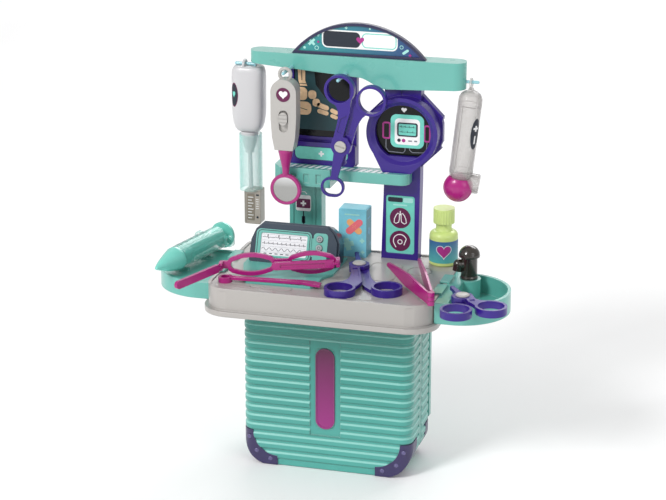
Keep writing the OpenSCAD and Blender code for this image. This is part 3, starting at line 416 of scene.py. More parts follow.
MATERIALS = {
    "mint": plastic("mint_plastic", MINT, rough=0.34, soft=0.05),
    "case": plastic("case_plastic", CASE_LOW, radius=0.0011, wear_and_highlight=0.45, shine=0.35, soft=0.05,
                    fade=(CASE_TOP_SHADE, 0.03, 0.185), ribs=(RIB_CREST, RIB_STEP, RIB_HIGHLIGHT_RGB, RIB_SHADE_RGB)),
    "canopy": plastic("canopy_plastic", MINT, rough=0.28, radius=0.0007, wear_and_highlight=0.8, shine=0.6,
                      soft=0.05),
    "tray": plastic("tray_plastic", MINT, rough=0.3, radius=0.0012, wear_and_highlight=0.6, shine=0.5, soft=0.05),
    "plaque": plastic("plaque_plastic", PLAQUE_LOW, rough=0.3, fade=(PLAQUE_TOP_SHADE, 0.055, 0.135)),
    "pearl": plastic("pearl_plastic", (198, 197, 199), rough=0.3, tint=0.015, wear_and_highlight=0.1, soft=0.1),
    "rivet": plastic("rivet_plastic", (92, 84, 130), rough=0.22, wear_and_highlight=0.5, shine=0.6),
    "back": plastic("back_plastic", (92, 170, 158), rough=0.3, soft=0.05),
    "grey": plastic("counter_plastic", (170, 166, 162), rough=0.34, tint=0.03, radius=0.0016,
                    wear_and_highlight=0.6, shine=0.4),
    "purple": plastic("purple_plastic", (46, 18, 126), rough=0.34, tint=0.08, wear_and_highlight=0.2, shine=0.12),
    "magenta": plastic("magenta_plastic", (168, 26, 118), rough=0.28, tint=0.07, wear_and_highlight=0.25),
    "navy": plastic("navy_plastic", (32, 32, 72), rough=0.34, tint=0.08, wear_and_highlight=0.2),
    "guard": plastic("guard_plastic", (52, 42, 88), rough=0.35, tint=0.08, wear_and_highlight=0.35),
    "monitor": plastic("monitor_plastic", (20, 44, 64), rough=0.3, tint=0.08, wear_and_highlight=0.25),
    "white": plastic("white_plastic", (178, 175, 171), rough=0.33, tint=0.02, wear_and_highlight=0.1, soft=0.08),
    "tap": plastic("tap_plastic", (42, 35, 28), rough=0.18, tint=0.12, wear_and_highlight=0.2, shine=0.8),
    "beige": plastic("beige_plastic", (168, 160, 150), rough=0.42, tint=0.03),
    "beige_dark": plastic("beige_panel", (132, 122, 108), rough=0.45, tint=0.06),
    "hooks": plastic("hook_plastic", (150, 205, 214), rough=0.2, shine=0.5),
    "lime": plastic("lime_plastic", (204, 224, 136), rough=0.3, tint=0.04, soft=0.15),
    "button": plastic("button_plastic", (160, 168, 170), rough=0.3),
    "syringe": plastic("syringe_plastic", (116, 204, 190), rough=0.22, shine=0.5, soft=0.1),
    "steel": plastic("pin_metal", (150, 152, 158), rough=0.25, wear_and_highlight=0.2),
    "mirror": mirror_metal("mirror_metal", 0.290, 0.318),
    "card": printed("card_print", (128, 204, 222), rough=0.5),
    # Darker copy of the card colour for the box's side: painted shade
    "card_shaded_side": printed("card_shaded_side", (84, 160, 172), rough=0.5),
    "black": printed("panel_black", (5, 8, 11), rough=0.2, tint=0.1, gloss=0.25),
    "screen": printed("screen_white", (236, 234, 238), rough=0.25),
    "seam": printed("seam_grey", (150, 146, 144), rough=0.3),
    "ink_dark": printed("ink_dark", (26, 34, 48)),
    "ink_white": printed("ink_white", (240, 240, 240)),
    "ink_plum": printed("ink_plum", (96, 18, 70)),
    "ink_magenta": printed("ink_magenta", (168, 44, 132)),
    "ink_mint": printed("ink_mint", (112, 206, 190)),
    "ink_mint_pale": printed("ink_mint_pale", (164, 222, 214)),
    "ink_teal": printed("ink_teal", (16, 58, 64)),
    "ink_bone": printed("ink_bone", (226, 190, 150), tint=0.1),
    "ink_pink": printed("ink_pink", (238, 116, 128)),
    "ink_orange": printed("ink_orange", (246, 178, 120)),
    "ink_grey": printed("ink_grey", (120, 124, 134)),
    "ink_blue": printed("ink_blue", (86, 178, 206)),
    "sign": gradient("sign_print", (50, 150, 148), (40, 56, 122), "X", -0.06, 0.075, rough=0.25),
    "bottle_label": gradient("bottle_label", (84, 178, 174), (56, 98, 154), "Z", 0.216, 0.241),
    "clear_mint": clear("clear_mint", (206, 240, 236), (44, 204, 190), alpha=0.18),
    "barrel": clear("barrel_mint", (140, 224, 212), (70, 172, 158), alpha=0.24),
    "clear": clear("clear_plastic", (214, 210, 206), (128, 124, 124), alpha=0.3, rough=0.08),
}

NODE_LOOKS = {
    "case": ["rear_shell", "front_shell"],
    "back": ["back_panel"],
    "mint": ["left_upright", "ecg_bezel", "ecg_base"],
    "canopy": ["canopy"],
    "tray": ["left_tray", "sink_tray", "shelf"],
    "grey": ["table_base"],
    "purple": ["xray_frame", "right_upright", "sink_clamp_a", "sink_clamp_b", "clamp_a",
               "clamp_b", "table_clamp_a", "table_clamp_b"],
    "plaque": ["plaque"],
    "magenta": ["mirror_ring", "glasses_front", "temple_left", "temple_right",
                "spatula", "tweezer_a", "tweezer_b", "tube_bulb"],
    "navy": ["sign_frame"],
    "guard": ["rear_guards", "front_guards"],
    "monitor": ["ecg_case"],
    "pearl": ["iv_bottle", "iv_neck", "iv_tube"],
    "white": ["mirror_handle", "mirror_switch", "sink_clamp_cap", "table_clamp_cap", "clamp_screw"],
    "tap": ["tap_body", "tap_knob"],
    "beige": ["iv_regulator"],
    "hooks": ["hooks"],
    "lime": ["pill_bottle", "pill_cap"],
    "button": ["ecg_button_up", "ecg_button_down"],
    "syringe": ["syringe_tip", "syringe_plunger"],
    "steel": ["door_pins"],
    "card": ["plaster_box"],
    "black": ["xray_screen", "round_panel"],
    "screen": ["ecg_screen"],
    "sign": ["sign_panel"],
    "clear_mint": ["iv_sleeve"],
    "barrel": ["syringe_barrel"],
    "clear": ["tube_body"],
    "mirror": ["mirror_glass"],
}


def dress_nodes():
    """Gives every CAD node its material."""
    for look, names in NODE_LOOKS.items():
        for name in names:
            obj = NODES[name]
            if not obj.material_slots:
                obj.data.materials.append(MATERIALS[look])
            for slot in obj.material_slots:
                slot.material = MATERIALS[look]


add_camera()
add_lights()
add_world()
dress_nodes()
add_floor()


# Flat outlines
def turned(pts, cx, cy, turn):
    """Points turned about the origin by degrees and moved to a centre."""
    c, s = math.cos(math.radians(turn)), math.sin(math.radians(turn))
    return [(cx + x * c - y * s, cy + x * s + y * c) for x, y in pts]


def arc(cx, cy, r, a0, a1, n):
    return [(cx + r * math.cos(math.radians(a0 + (a1 - a0) * i / n)),
             cy + r * math.sin(math.radians(a0 + (a1 - a0) * i / n))) for i in range(n + 1)]


def disc(cx, cy, r, n=40):
    return [(cx + r * math.cos(2 * math.pi * i / n), cy + r * math.sin(2 * math.pi * i / n))
            for i in range(n)]


def plate(x, y, w, h, r, n=6):
    """Rounded rectangle from its lower left corner."""
    return (arc(x + w - r, y + r, r, -90, 0, n) + arc(x + w - r, y + h - r, r, 0, 90, n)
            + arc(x + r, y + h - r, r, 90, 180, n) + arc(x + r, y + r, r, 180, 270, n))


def panel(w, h, r, n=6):
    """Rounded rectangle about the origin."""
    return plate(-w / 2, -h / 2, w, h, r, n)


def cross(cx, cy, size, width, turn=0.0):
    s, w = size / 2, width / 2
    return turned([(-w, -s), (w, -s), (w, -w), (s, -w), (s, w), (w, w), (w, s), (-w, s), (-w, w),
                   (-s, w), (-s, -w), (-w, -w)], cx, cy, turn)


def heart(cx, cy, size, n=36):
    """The well-known heart curve, which is 32 units wide."""
    pts = []
    for i in range(n):
        t = 2 * math.pi * i / n
        x = 16 * math.sin(t) ** 3
        y = 13 * math.cos(t) - 5 * math.cos(2 * t) - 2 * math.cos(3 * t) - math.cos(4 * t)
        pts.append((cx + x * size / 32, cy + y * size / 32))
    return pts


def bar(cx, cy, length, width, turn=0.0, n=6):
    """Strip with round ends."""
    r = width / 2
    h = length / 2 - r
    return turned(arc(h, 0, r, -90, 90, n) + arc(-h, 0, r, 90, 270, n), cx, cy, turn)


def wave(x0, x1, y, high, steps, beat):
    """Heartbeat trace: flat, with a small bump, a spike and a dip at every beat."""
    pts = []
    for i in range(steps + 1):
        part = (i % beat) / beat
        rise = 0.0
        if 0.45 < part < 0.52:
            rise = high
        elif 0.52 <= part < 0.6:
            rise = -high * 0.45
        elif 0.15 < part < 0.3:
            rise = high * 0.2
        pts.append((x0 + (x1 - x0) * i / steps, y + rise))
    return pts


def line(pts, width, closed=False):
    """Both sides of a band of one width along a path."""
    pts = [Vector(p) for p in pts]
    n = len(pts)
    left, right = [], []
    for i in range(n):
        a = pts[i - 1] if (i > 0 or closed) else pts[i]
        b = pts[(i + 1) % n] if (i < n - 1 or closed) else pts[i]
        d = (b - a).normalized()
        side = Vector((-d.y, d.x)) * width / 2
        left.append(pts[i] + side)
        right.append(pts[i] - side)
    return left, right


# Faces to print on: each turns u, v and a height d over the face into a place in the frame
def box_mm(node):
    """Lower corner, upper corner and middle of a node's box."""
    low, high = (Vector(corner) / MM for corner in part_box(node))
    return low, high, (low + high) / 2


def facing_front(x, y, z):
    """Upright plane through a point: u to the right of it, v up."""
    return lambda u, v, d: Vector((x + u, y - d, z + v)) * MM


def front_of(node, inset=0.0):
    """Front face of a node, from its middle, or a face sunk into it."""
    low, _, middle = box_mm(node)
    return facing_front(middle.x, low.y + inset, middle.z)


def right_of(node):
    """Right-hand face of a node, from its middle: u to the back, v up."""
    _, high, middle = box_mm(node)
    return lambda u, v, d: Vector((high.x + d, middle.y + u, middle.z + v)) * MM


def back_of(node):
    """Back face of a node, at the frame's own x and z."""
    depth = box_mm(node)[1].y
    return lambda u, v, d: Vector((u, depth + d, v)) * MM


def level(z):
    """Level face at a height, at the frame's own x and y."""
    return lambda u, v, d: Vector((u, v, z + d)) * MM


def round_post(cx, cy, r, turn=0.0):
    """Face of an upright cylinder, its middle turned from the front by an angle."""
    def place(u, v, d):
        a = u / r + math.radians(turn)
        return Vector((cx + (r + d) * math.sin(a), cy - (r + d) * math.cos(a), v)) * MM
    return place


# Bodies and prints
def finish_piece(name, bm, look, like, smooth=False):
    """Makes a piece of a mesh and lets it ride with the body of a node."""
    bmesh.ops.recalc_face_normals(bm, faces=bm.faces[:])
    mesh = bpy.data.meshes.new(name)
    bm.to_mesh(mesh)
    bm.free()
    if smooth:
        for face in mesh.polygons:
            face.use_smooth = True
    mesh.materials.append(MATERIALS[look])
    obj = bpy.data.objects.new(name, mesh)
    scene.collection.objects.link(obj)
    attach(obj, NODES[like]["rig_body"])
    return obj


def fill(bm, pts, place, start, end):
    """Solid between two heights over a face, within an outline."""
    low = [bm.verts.new(place(x, y, start)) for x, y in pts]
    high = [bm.verts.new(place(x, y, end)) for x, y in pts]
    bm.faces.new(high)
    bm.faces.new(low[::-1])
    n = len(pts)
    for i in range(n):
        j = (i + 1) % n
        bm.faces.new((low[i], low[j], high[j], high[i]))


def join_rows(bm, rows, loop=False):
    """Skin over rows of points that each go round; the ends are closed, or meet in a loop."""
    n = len(rows[0])
    for a, b in zip(rows, rows[1:] + rows[:1] if loop else rows[1:]):
        for i in range(n):
            j = (i + 1) % n
            bm.faces.new((a[i], a[j], b[j], b[i]))
    if not loop:
        bm.faces.new(rows[0][::-1])
        bm.faces.new(rows[-1])


def ribbon(bm, sides, place, start, end, closed=False):
    """Raised band between its left and right side."""
    rows = []
    for left, right in zip(*sides):
        corners = ((left, start), (right, start), (right, end), (left, end))
        rows.append([bm.verts.new(place(*side, height)) for side, height in corners])
    join_rows(bm, rows, closed)


def sticker(name, place, look, like, shapes=(), lines=(), rings=(),
            start=-0.05, end=0.12):
    """Thin printed shapes on a face: filled outlines, open lines and closed lines."""
    bm = bmesh.new()
    for pts in shapes:
        fill(bm, pts, place, start, end)
    for pts, width in lines:
        ribbon(bm, line(pts, width), place, start, end)
    for pts, width in rings:
        ribbon(bm, line(pts, width, True), place, start, end, True)
    return finish_piece(name, bm, look, like)


def wrap(name, place, look, like, reach, v0, v1, start=-0.05, end=0.15, n=64):
    """Label bent round a post, from its middle as far as reach to both sides."""
    bm = bmesh.new()
    us = [-reach + 2 * reach * i / n for i in range(n + 1)]
    ribbon(bm, ([(u, v0) for u in us], [(u, v1) for u in us]), place, start, end)
    return finish_piece(name, bm, look, like)


def round_label(name, place, look, like, middle, radii, end, start=-0.1, half=24):
    """Oval label in strips, so that it follows a bent face."""
    (cu, cv), (ru, rv) = middle, radii
    lower, upper = [], []
    for k in range(-half, half + 1):
        a = math.pi / 2 * k / half
        u, h = cu + ru * math.sin(a), max(rv * math.cos(a), 0.02)
        lower.append((u, cv - h))
        upper.append((u, cv + h))
    bm = bmesh.new()
    ribbon(bm, (lower, upper), place, start, end)
    return finish_piece(name, bm, look, like)


def frame_of(start, end):
    """Turns a point whose z runs from start towards end into a place in the frame."""
    start, end = Vector(start), Vector(end)
    turn = (end - start).to_track_quat("Z", "Y")
    return lambda x, y, z: (start + turn @ Vector((x, y, z))) * MM


def upright(x, y, z):
    """Frame of an axis that goes straight up from a point."""
    return frame_of((x, y, z), (x, y, z + 1.0))


def lathe(bm, profile, put, n=64):
    """Solid of revolution: profile is radius and height, from one end to the other."""
    join_rows(bm, [[bm.verts.new(put(x, y, z)) for x, y in disc(0, 0, r, n)] for r, z in profile])


def torus(bm, centre, axis, big, small, n=48, m=16):
    put = frame_of(centre, [c + a for c, a in zip(centre, axis)])
    rows = []
    for i in range(n):
        a = 2 * math.pi * i / n
        rows.append([bm.verts.new(put((big + u) * math.cos(a), (big + u) * math.sin(a), v))
                     for u, v in disc(0, 0, small, m)])
    join_rows(bm, rows, True)


# Sign on the canopy: bare name plate in two halves and small marks
SIGN = front_of("sign_panel")
PLATE_X, PLATE_Z, PLATE_W, PLATE_H = -40.3, -10.0, 83.0, 19.4
DARK_INSET, MINT_INSET = 1.4, 2.2
sticker("sign_plate_edge", SIGN, "ink_white", "sign_panel",
        [plate(PLATE_X, PLATE_Z, PLATE_W, PLATE_H, 6.0)], end=0.3)
sticker("sign_plate_dark", SIGN, "ink_dark", "sign_panel",
        [plate(PLATE_X + DARK_INSET, PLATE_Z + DARK_INSET, 40.6, PLATE_H - 2 * DARK_INSET, 5.0)],
        end=0.5)
sticker("sign_plate_mint", SIGN, "ink_mint", "sign_panel",
        rings=[(plate(4.3, PLATE_Z + MINT_INSET, 36.6, PLATE_H - 2 * MINT_INSET, 4.4), 1.0)], end=0.5)
sticker("sign_marks_pale", SIGN, "ink_mint_pale", "sign_panel",
        [cross(-51.7, -5.0, 9.0, 2.6, 45), cross(-44.7, 3.0, 3.6, 1.3), disc(-59.7, -11.6, 1.4),
         bar(51.3, -10.0, 8.0, 2.8, 35), cross(-13.7, 12.2, 3.0, 1.0), disc(12.3, 12.6, 1.0)],
        rings=[(disc(-46.2, -11.2, 2.0), 0.7), (disc(46.9, -5.2, 1.8), 0.6)])
sticker("sign_marks_pink", SIGN, "ink_magenta", "sign_panel",
        [heart(1.9, -0.2, 8.4), cross(56.3, -13.4, 3.0, 1.0), disc(-44.3, -4.5, 1.1)], end=0.7)

# Picture in the light box: a resting foot seen from the side, all in plain shapes
XRAY = front_of("xray_screen")
LEG_SHADE = [(-30, 42), (-10, 42), (-7, 14), (4, 0), (24, -10), (30, -20), (30, -36), (-30, -36)]
SHIN = [(-27.5, 42.6), (-18.5, 42.6), (-18.8, 18), (-16.4, 12), (-24.6, 12), (-26.4, 18)]
HEEL_AND_ANKLE = [plate(-29.5, -4.0, 13.0, 14.5, 5.0), plate(-15.4, -2.0, 9.0, 9.6, 3.8),
                  plate(-29.0, -20.0, 17.0, 14.6, 6.0), plate(-10.6, -10.0, 8.4, 8.6, 3.4)]
FOREFOOT = [bar(1.0, -9.6, 14.0, 5.4, -18), bar(1.0, -15.8, 13.0, 4.8, -14),
            bar(13.6, -14.4, 9.4, 4.8, -24), bar(13.4, -20.0, 8.6, 4.2, -18),
            bar(22.4, -18.6, 6.6, 3.8, -20)]
sticker("xray_shade", XRAY, "ink_teal", "xray_screen", [LEG_SHADE])
sticker("xray_bones", XRAY, "ink_bone", "xray_screen",
        [SHIN, *HEEL_AND_ANKLE, *FOREFOOT], end=0.3)
sticker("xray_bones_dark", XRAY, "ink_teal", "xray_screen",
        lines=[([(-25.5, 14.5), (-17.5, 14.5)], 0.7), ([(-23.0, 40.0), (-22.4, 18.0)], 0.8),
               ([(-26.5, -12.0), (-16.5, -14.5)], 0.7)], start=0.2, end=0.4)

# Bare strip under the picture, on the light box's sunk foot
FOOT = front_of("xray_frame", inset=1.0)
FOOT_Z, FOOT_W, FOOT_H = -54.3, 58.8, 13.8
sticker("foot_plate", FOOT, "ink_mint", "xray_frame",
        [plate(-FOOT_W / 2, FOOT_Z, FOOT_W, FOOT_H, 5.6)], end=0.5)
sticker("foot_plate_mark", FOOT, "ink_white", "xray_frame",
        [cross(0.0, FOOT_Z + FOOT_H / 2, 6.0, 2.0)], end=0.7)

# Round panel: a hand-held meter with its two grips, about the dish's middle
DISH_Z = 361.0
DISH_LOW, _, DISH_MIDDLE = box_mm("round_panel")
DISH = facing_front(DISH_MIDDLE.x, DISH_LOW.y, DISH_Z)
LEFT_WIRE = [(-19.5, -13), (-19.5, -23), (-16.5, -27), (-0.5, -27.6), (1.5, -25), (1.5, -21)]
RIGHT_WIRE = [(25.5, -14), (24.9, -23), (21.5, -26), (9.5, -26.6), (6.5, -24), (6.5, -21)]
KEY_ROW = -13.8
sticker("meter_grips", DISH, "ink_magenta", "round_panel",
        rings=[(plate(-22.7, -12.4, 7.4, 17.0, 2.0), 1.9), (plate(22.5, -13.4, 6.0, 17.0, 2.0), 1.9)])
sticker("meter_wires", DISH, "ink_grey", "round_panel",
        lines=[(LEFT_WIRE, 0.8), (RIGHT_WIRE, 0.8)])
sticker("meter_case", DISH, "ink_mint", "round_panel",
        [plate(-14.5, -21.8, 36.6, 36.4, 6.5)], end=0.4)
sticker("meter_face", DISH, "ink_white", "round_panel",
        [plate(-9.9, -18.4, 27.6, 28.6, 4.5)], end=0.55)
sticker("meter_screen_edge", DISH, "ink_dark", "round_panel",
        [plate(-7.3, -9.4, 22.6, 15.4, 2.6), disc(-5.1, KEY_ROW, 1.9)], end=0.7)
sticker("meter_screen", DISH, "ink_mint", "round_panel",
        [plate(-5.5, -7.8, 19.0, 12.2, 1.2)], end=0.8)
sticker("meter_trace", DISH, "ink_dark", "round_panel",
        lines=[(wave(-4.9, 12.9, 1.2, 1.6, 60, 15), 0.4), (wave(-4.9, 12.9, -4.4, 1.6, 60, 20), 0.4)],
        start=0.7, end=0.9)
sticker("meter_button", DISH, "ink_magenta", "round_panel",
        [disc(-0.1, KEY_ROW, 2.0)], end=0.75)
sticker("meter_keys", DISH, "ink_grey", "round_panel",
        [plate(4.9, KEY_ROW - 0.8, 4.4, 1.4, 0.6), plate(11.5, KEY_ROW - 0.8, 3.4, 1.6, 0.7)],
        end=0.75)
sticker("meter_mark", DISH, "ink_white", "round_panel", [heart(0.0, 19.8, 6.0)])

# Sticker of a drip bag in the left upright's hollow, about the bag's middle
BAG = facing_front(-55.0, 57.2, 266.6)
HANGER = [(-4.0, 10.4), (-2.0, 12.8), (2.0, 12.8), (4.0, 10.4)]
sticker("bag_body", BAG, "ink_white", "left_upright",
        [panel(17.2, 18.0, 2.4)], [(HANGER, 0.8)])
sticker("bag_band", BAG, "ink_plum", "left_upright",
        [plate(-7.8, -5.6, 15.6, 10.4, 0.8)], end=0.25)
sticker("bag_cross", BAG, "ink_white", "left_upright", [cross(0.0, -0.4, 6.2, 2.0)], end=0.4)
sticker("bag_tube", BAG, "ink_dark", "left_upright",
        [plate(-2.0, -23.0, 4.0, 8.0, 0.8), plate(-4.2, -28.2, 8.4, 3.6, 0.8)],
        [([(0.0, -9.2), (0.0, -38.6)], 1.2)])

# Card on the right upright: bare header, and round signs with lungs above and an organ below
CARD = facing_front(54.2, 57.0, 251.0)
HEADER_Z, HEADER_H = 25.4, 5.2
LUNGS_Z, ORGAN_Z = 7.6, -18.4
LUNG = [(0.9, 4.6), (2.6, 5.6), (4.6, 3.2), (6.4, -1.0), (6.8, -5.0), (4.6, -6.2), (1.6, -4.4),
        (1.0, -1.0)]
WINDPIPE = [(0.0, LUNGS_Z + 8.0), (0.0, LUNGS_Z + 3.0)]
ORGAN_ARC = arc(0.0, ORGAN_Z, 7.4, 200, 20, 16)
ORGAN_RIGHT = [(6.95, ORGAN_Z + 2.53), (4.4, ORGAN_Z - 4.6)]
ORGAN_LEFT = [(-7.0, ORGAN_Z - 2.6), (-4.4, ORGAN_Z - 7.4)]
sticker("post_card", CARD, "ink_mint", "right_upright", [panel(31.6, 65.2, 2.6)], end=0.1)
sticker("post_header", CARD, "ink_dark", "right_upright",
        [plate(-13.8, HEADER_Z, 16.4, HEADER_H, 1.6)], end=0.25)
sticker("post_pale", CARD, "ink_mint_pale", "right_upright",
        [plate(3.2, HEADER_Z, 10.8, HEADER_H, 1.6), plate(-8.2, HEADER_Z - 4.0, 16.0, 1.6, 0.7)],
        end=0.25)
sticker("post_discs", CARD, "ink_plum", "right_upright",
        [disc(0.0, z, 11.6, 56) for z in (LUNGS_Z, ORGAN_Z)], end=0.25)
sticker("post_icons", CARD, "ink_white", "right_upright",
        lines=[(path, 1.0) for path in (WINDPIPE, ORGAN_ARC, ORGAN_RIGHT, ORGAN_LEFT)],
        rings=[([(s * x, LUNGS_Z - 0.2 + z) for x, z in LUNG], 0.9) for s in (1, -1)]
        + [(disc(0.0, ORGAN_Z - 1.0, 2.4, 20), 0.9)], start=0.2, end=0.4)

# Box of plasters: two crossed strips in front, marks on its side, which is darkened with painted shade
BOX_FRONT, BOX_SIDE = front_of("plaster_box"), right_of("plaster_box")
STRIP_AT = (2.1, 7.5)
HOLES = [disc(*STRIP_AT, 0.5, 8)] + [disc(STRIP_AT[0] + a, STRIP_AT[1] + b, 0.4, 8)
                                     for a in (-1.6, 1.6) for b in (-1.2, 1.2)]
sticker("box_side", BOX_SIDE, "card_shaded_side", "plaster_box",
        [plate(-10.9, -26.9, 21.8, 53.0, 0.2)], end=0.1)
sticker("box_side_marks", BOX_SIDE, "ink_blue", "plaster_box",
        [cross(0.0, 0.9, 9.0, 3.6, 20), cross(5.0, -15.1, 5.0, 2.0), bar(0.0, 15.9, 12.0, 2.0)],
        end=0.2)
sticker("box_pale", BOX_FRONT, "ink_mint_pale", "plaster_box",
        [cross(-5.5, -13.1, 14.0, 5.6, 15), cross(10.9, -8.1, 5.4, 2.2), cross(11.5, -21.1, 4.2, 1.6),
         bar(-0.5, 20.9, 17.0, 1.6)])
sticker("box_strip_orange", BOX_FRONT, "ink_orange", "plaster_box",
        [bar(*STRIP_AT, 21.0, 7.4, -44)], end=0.25)
sticker("box_strip_pink", BOX_FRONT, "ink_pink", "plaster_box",
        [bar(*STRIP_AT, 23.0, 7.6, 42)], end=0.4)
sticker("box_strip_pad", BOX_FRONT, "ink_orange", "plaster_box", HOLES, start=0.3, end=0.5)

# Monitor: its face leans back about a line at the foot of its front
LEAN = math.radians(20.0)
LEAN_LINE = Vector((-50.5, -1.0, 214.6))


def on_monitor(inset):
    """The monitor's sloping face: u from its middle, v up the slope."""
    def place(u, v, d):
        depth = inset - d
        return (LEAN_LINE + Vector((u, depth * math.cos(LEAN) + v * math.sin(LEAN),
                                    -depth * math.sin(LEAN) + v * math.cos(LEAN)))) * MM
    return place


SCREEN, BEZEL, KEYS = on_monitor(0.2), on_monitor(-0.8), on_monitor(-2.2)
TRACE_LEFT, TRACE_RIGHT, TRACE_WIDTH = -36.2, 12.8, 0.45
RIPPLE = [(TRACE_LEFT + (TRACE_RIGHT - TRACE_LEFT) * i / 60, 14.6 + 1.5 * math.sin(i * 0.75))
          for i in range(61)]
BEATS = [wave(TRACE_LEFT, TRACE_RIGHT, 27.4, 3.0, 120, 30),
         wave(TRACE_LEFT, TRACE_RIGHT, 20.6, 2.0, 120, 12)]
sticker("monitor_traces", SCREEN, "ink_dark", "ecg_screen",
        lines=[(path, TRACE_WIDTH) for path in (*BEATS, RIPPLE)])
sticker("monitor_grid", SCREEN, "ink_grey", "ecg_screen",
        lines=[([(TRACE_LEFT, v), (TRACE_RIGHT, v)], 0.16) for v in (11.4, 17.6, 24.0, 30.4)],
        end=0.06)
sticker("monitor_marks", SCREEN, "ink_dark", "ecg_screen",
        [plate(-33.6 + 6.2 * i, 9.4, 3.4, 0.9, 0.3) for i in range(7)])
sticker("monitor_frame", BEZEL, "ink_dark", "ecg_bezel",
        rings=[(plate(-41.2, 5.6, 58.4, 29.2, 4.2), 0.7)])
for key, v in (("up", 29.5), ("down", 20.0)):
    sticker(f"key_mark_{key}", KEYS, "ink_dark", f"ecg_button_{key}",
            rings=[(disc(28.0, v, 1.5, 20), 0.5)])

# Badge sunk into the mirror tool's handle
BADGE = facing_front(-64.5, 15.6, 397.5)
sticker("badge", BADGE, "ink_plum", "mirror_handle", [disc(0.0, 0.0, 7.6, 48)], end=0.7)
sticker("badge_heart", BADGE, "ink_white", "mirror_handle", [heart(0.0, 0.5, 9.6)], end=0.85)

# Flow regulator of the drip set: body, rim, panel with ticks, and dots beside it
REGULATOR = facing_front(-112.2, 53.5, 258.6)
REGULATOR_W, REGULATOR_H, REGULATOR_DEEP, RIM = 18.4, 38.8, 15.0, 1.4
PANEL_X, MARKS_X = -6.4, 5.6
regulator = sticker("regulator_body", REGULATOR, "beige", "iv_regulator",
                    [panel(REGULATOR_W, REGULATOR_H, RIM)], start=-REGULATOR_DEEP, end=0.0)
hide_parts("iv_regulator")
sticker("regulator_rim", REGULATOR, "beige", "iv_regulator",
        rings=[(panel(REGULATOR_W - RIM, REGULATOR_H - RIM, RIM), RIM)], end=0.7)
sticker("regulator_panel", REGULATOR, "beige_dark", "iv_regulator",
        [plate(PANEL_X, -15.2, 8.6, 30.0, 1.0)], end=0.3)
sticker("regulator_ticks", REGULATOR, "ink_white", "iv_regulator",
        [plate(PANEL_X + 1.2, -13.2 + 3.4 * i, 6.2 if i % 2 else 4.4, 0.8, 0.3) for i in range(8)]
        + [bar(MARKS_X, -1.6 + 2.6 * i, 3.2, 0.7) for i in range(5)], start=0.1, end=0.42)
sticker("regulator_dots", REGULATOR, "ink_dark", "iv_regulator",
        [disc(MARKS_X, -11.6, 1.2, 20), plate(MARKS_X - 1.6, 13.0, 3.4, 1.6, 0.5)], end=0.4)

# Moulded outlines on the counter, under the tools
COUNTER = level(box_mm("ecg_base")[0].z)
sticker("counter_outlines", COUNTER, "grey", "table_base",
        rings=[(plate(30.0, -20.0, 34.0, 58.0, 8.0), 0.9), (plate(72.0, 8.0, 26.0, 26.0, 12.0), 0.9),
               (plate(-104.0, -80.0, 74.0, 12.0, 5.0), 0.8), (plate(10.0, -84.0, 60.0, 40.0, 18.0), 0.8)],
        end=0.35)

# Slanted bars on the shelf
SLAT_FRONT, SLAT_BACK, SLAT_WIDE, SLAT_SLANT = 37.5, 48.0, 3.6, 4.0
SLATS = [[(x, SLAT_FRONT), (x + SLAT_WIDE, SLAT_FRONT), (x + SLAT_WIDE + SLAT_SLANT, SLAT_BACK),
          (x + SLAT_SLANT, SLAT_BACK)] for x in range(-72, 46, 7)]
sticker("shelf_bars", level(box_mm("shelf")[1].z), "ink_white", "shelf", SLATS)

# Screws on the backs, each a head with a dark cross standing in for its slot: painted shade
BACK_LOW, BACK_HIGH, _ = box_mm("back_panel")
SCREW_EDGE = 9.0
SCREWS = {"back_panel": [(x, z) for x in (BACK_LOW.x + SCREW_EDGE, BACK_HIGH.x - SCREW_EDGE)
                         for z in (62.0, 118.0, 174.0)],
          "left_upright": [(-64.0, 226.0), (-40.5, 226.0), (-52.0, 284.0)],
          "right_upright": [(44.0, 384.0), (68.0, 384.0), (37.6, 300.0), (72.4, 300.0)],
          "xray_frame": [(-67.6, 318.0), (1.6, 318.0), (-67.6, 424.0), (1.6, 424.0)]}
for node, spots in SCREWS.items():
    sticker(f"screws_{node}", back_of(node), "steel", node,
            [disc(x, z, 2.3, 24) for x, z in spots], end=0.5)
    # Dark crosses for the slots: painted shade
    sticker(f"screw_slot_shade_{node}", back_of(node), "ink_dark", node,
            [cross(x, z, 2.8, 0.6, 20 + 31 * i) for i, (x, z) in enumerate(spots)], end=0.56)

# Scale on the syringe's barrel, bent round it; the syringe lies turned on its tray
SYRINGE_TURN = math.radians(13.3)
SYRINGE_TIP = Vector((-178.9, -75.4, 0.0))
ALONG = Vector((math.sin(SYRINGE_TURN), math.cos(SYRINGE_TURN), 0.0))
ACROSS = Vector((math.cos(SYRINGE_TURN), -math.sin(SYRINGE_TURN), 0.0))
TIP_LOW, TIP_HIGH, TIP_MIDDLE = box_mm("syringe_tip")
BARREL_R = (TIP_HIGH.z - TIP_LOW.z) / 2


def on_barrel(u, v, d):
    """v along the barrel from the tip, u round it from the top."""
    a = u / BARREL_R
    r = BARREL_R + d
    up = Vector((0.0, 0.0, TIP_MIDDLE.z + r * math.cos(a)))
    return (SYRINGE_TIP + ALONG * v + ACROSS * (r * math.sin(a)) + up) * MM


SCALE_START, LONG_TICK, SHORT_TICK = -12, 15, 9
sticker("syringe_scale", on_barrel, "ink_teal", "syringe_barrel",
        lines=[([(SCALE_START + k, v) for k in range(SHORT_TICK if i % 2 else LONG_TICK)], 0.7)
               for i, v in enumerate(range(48, 108, 6))], end=0.1)

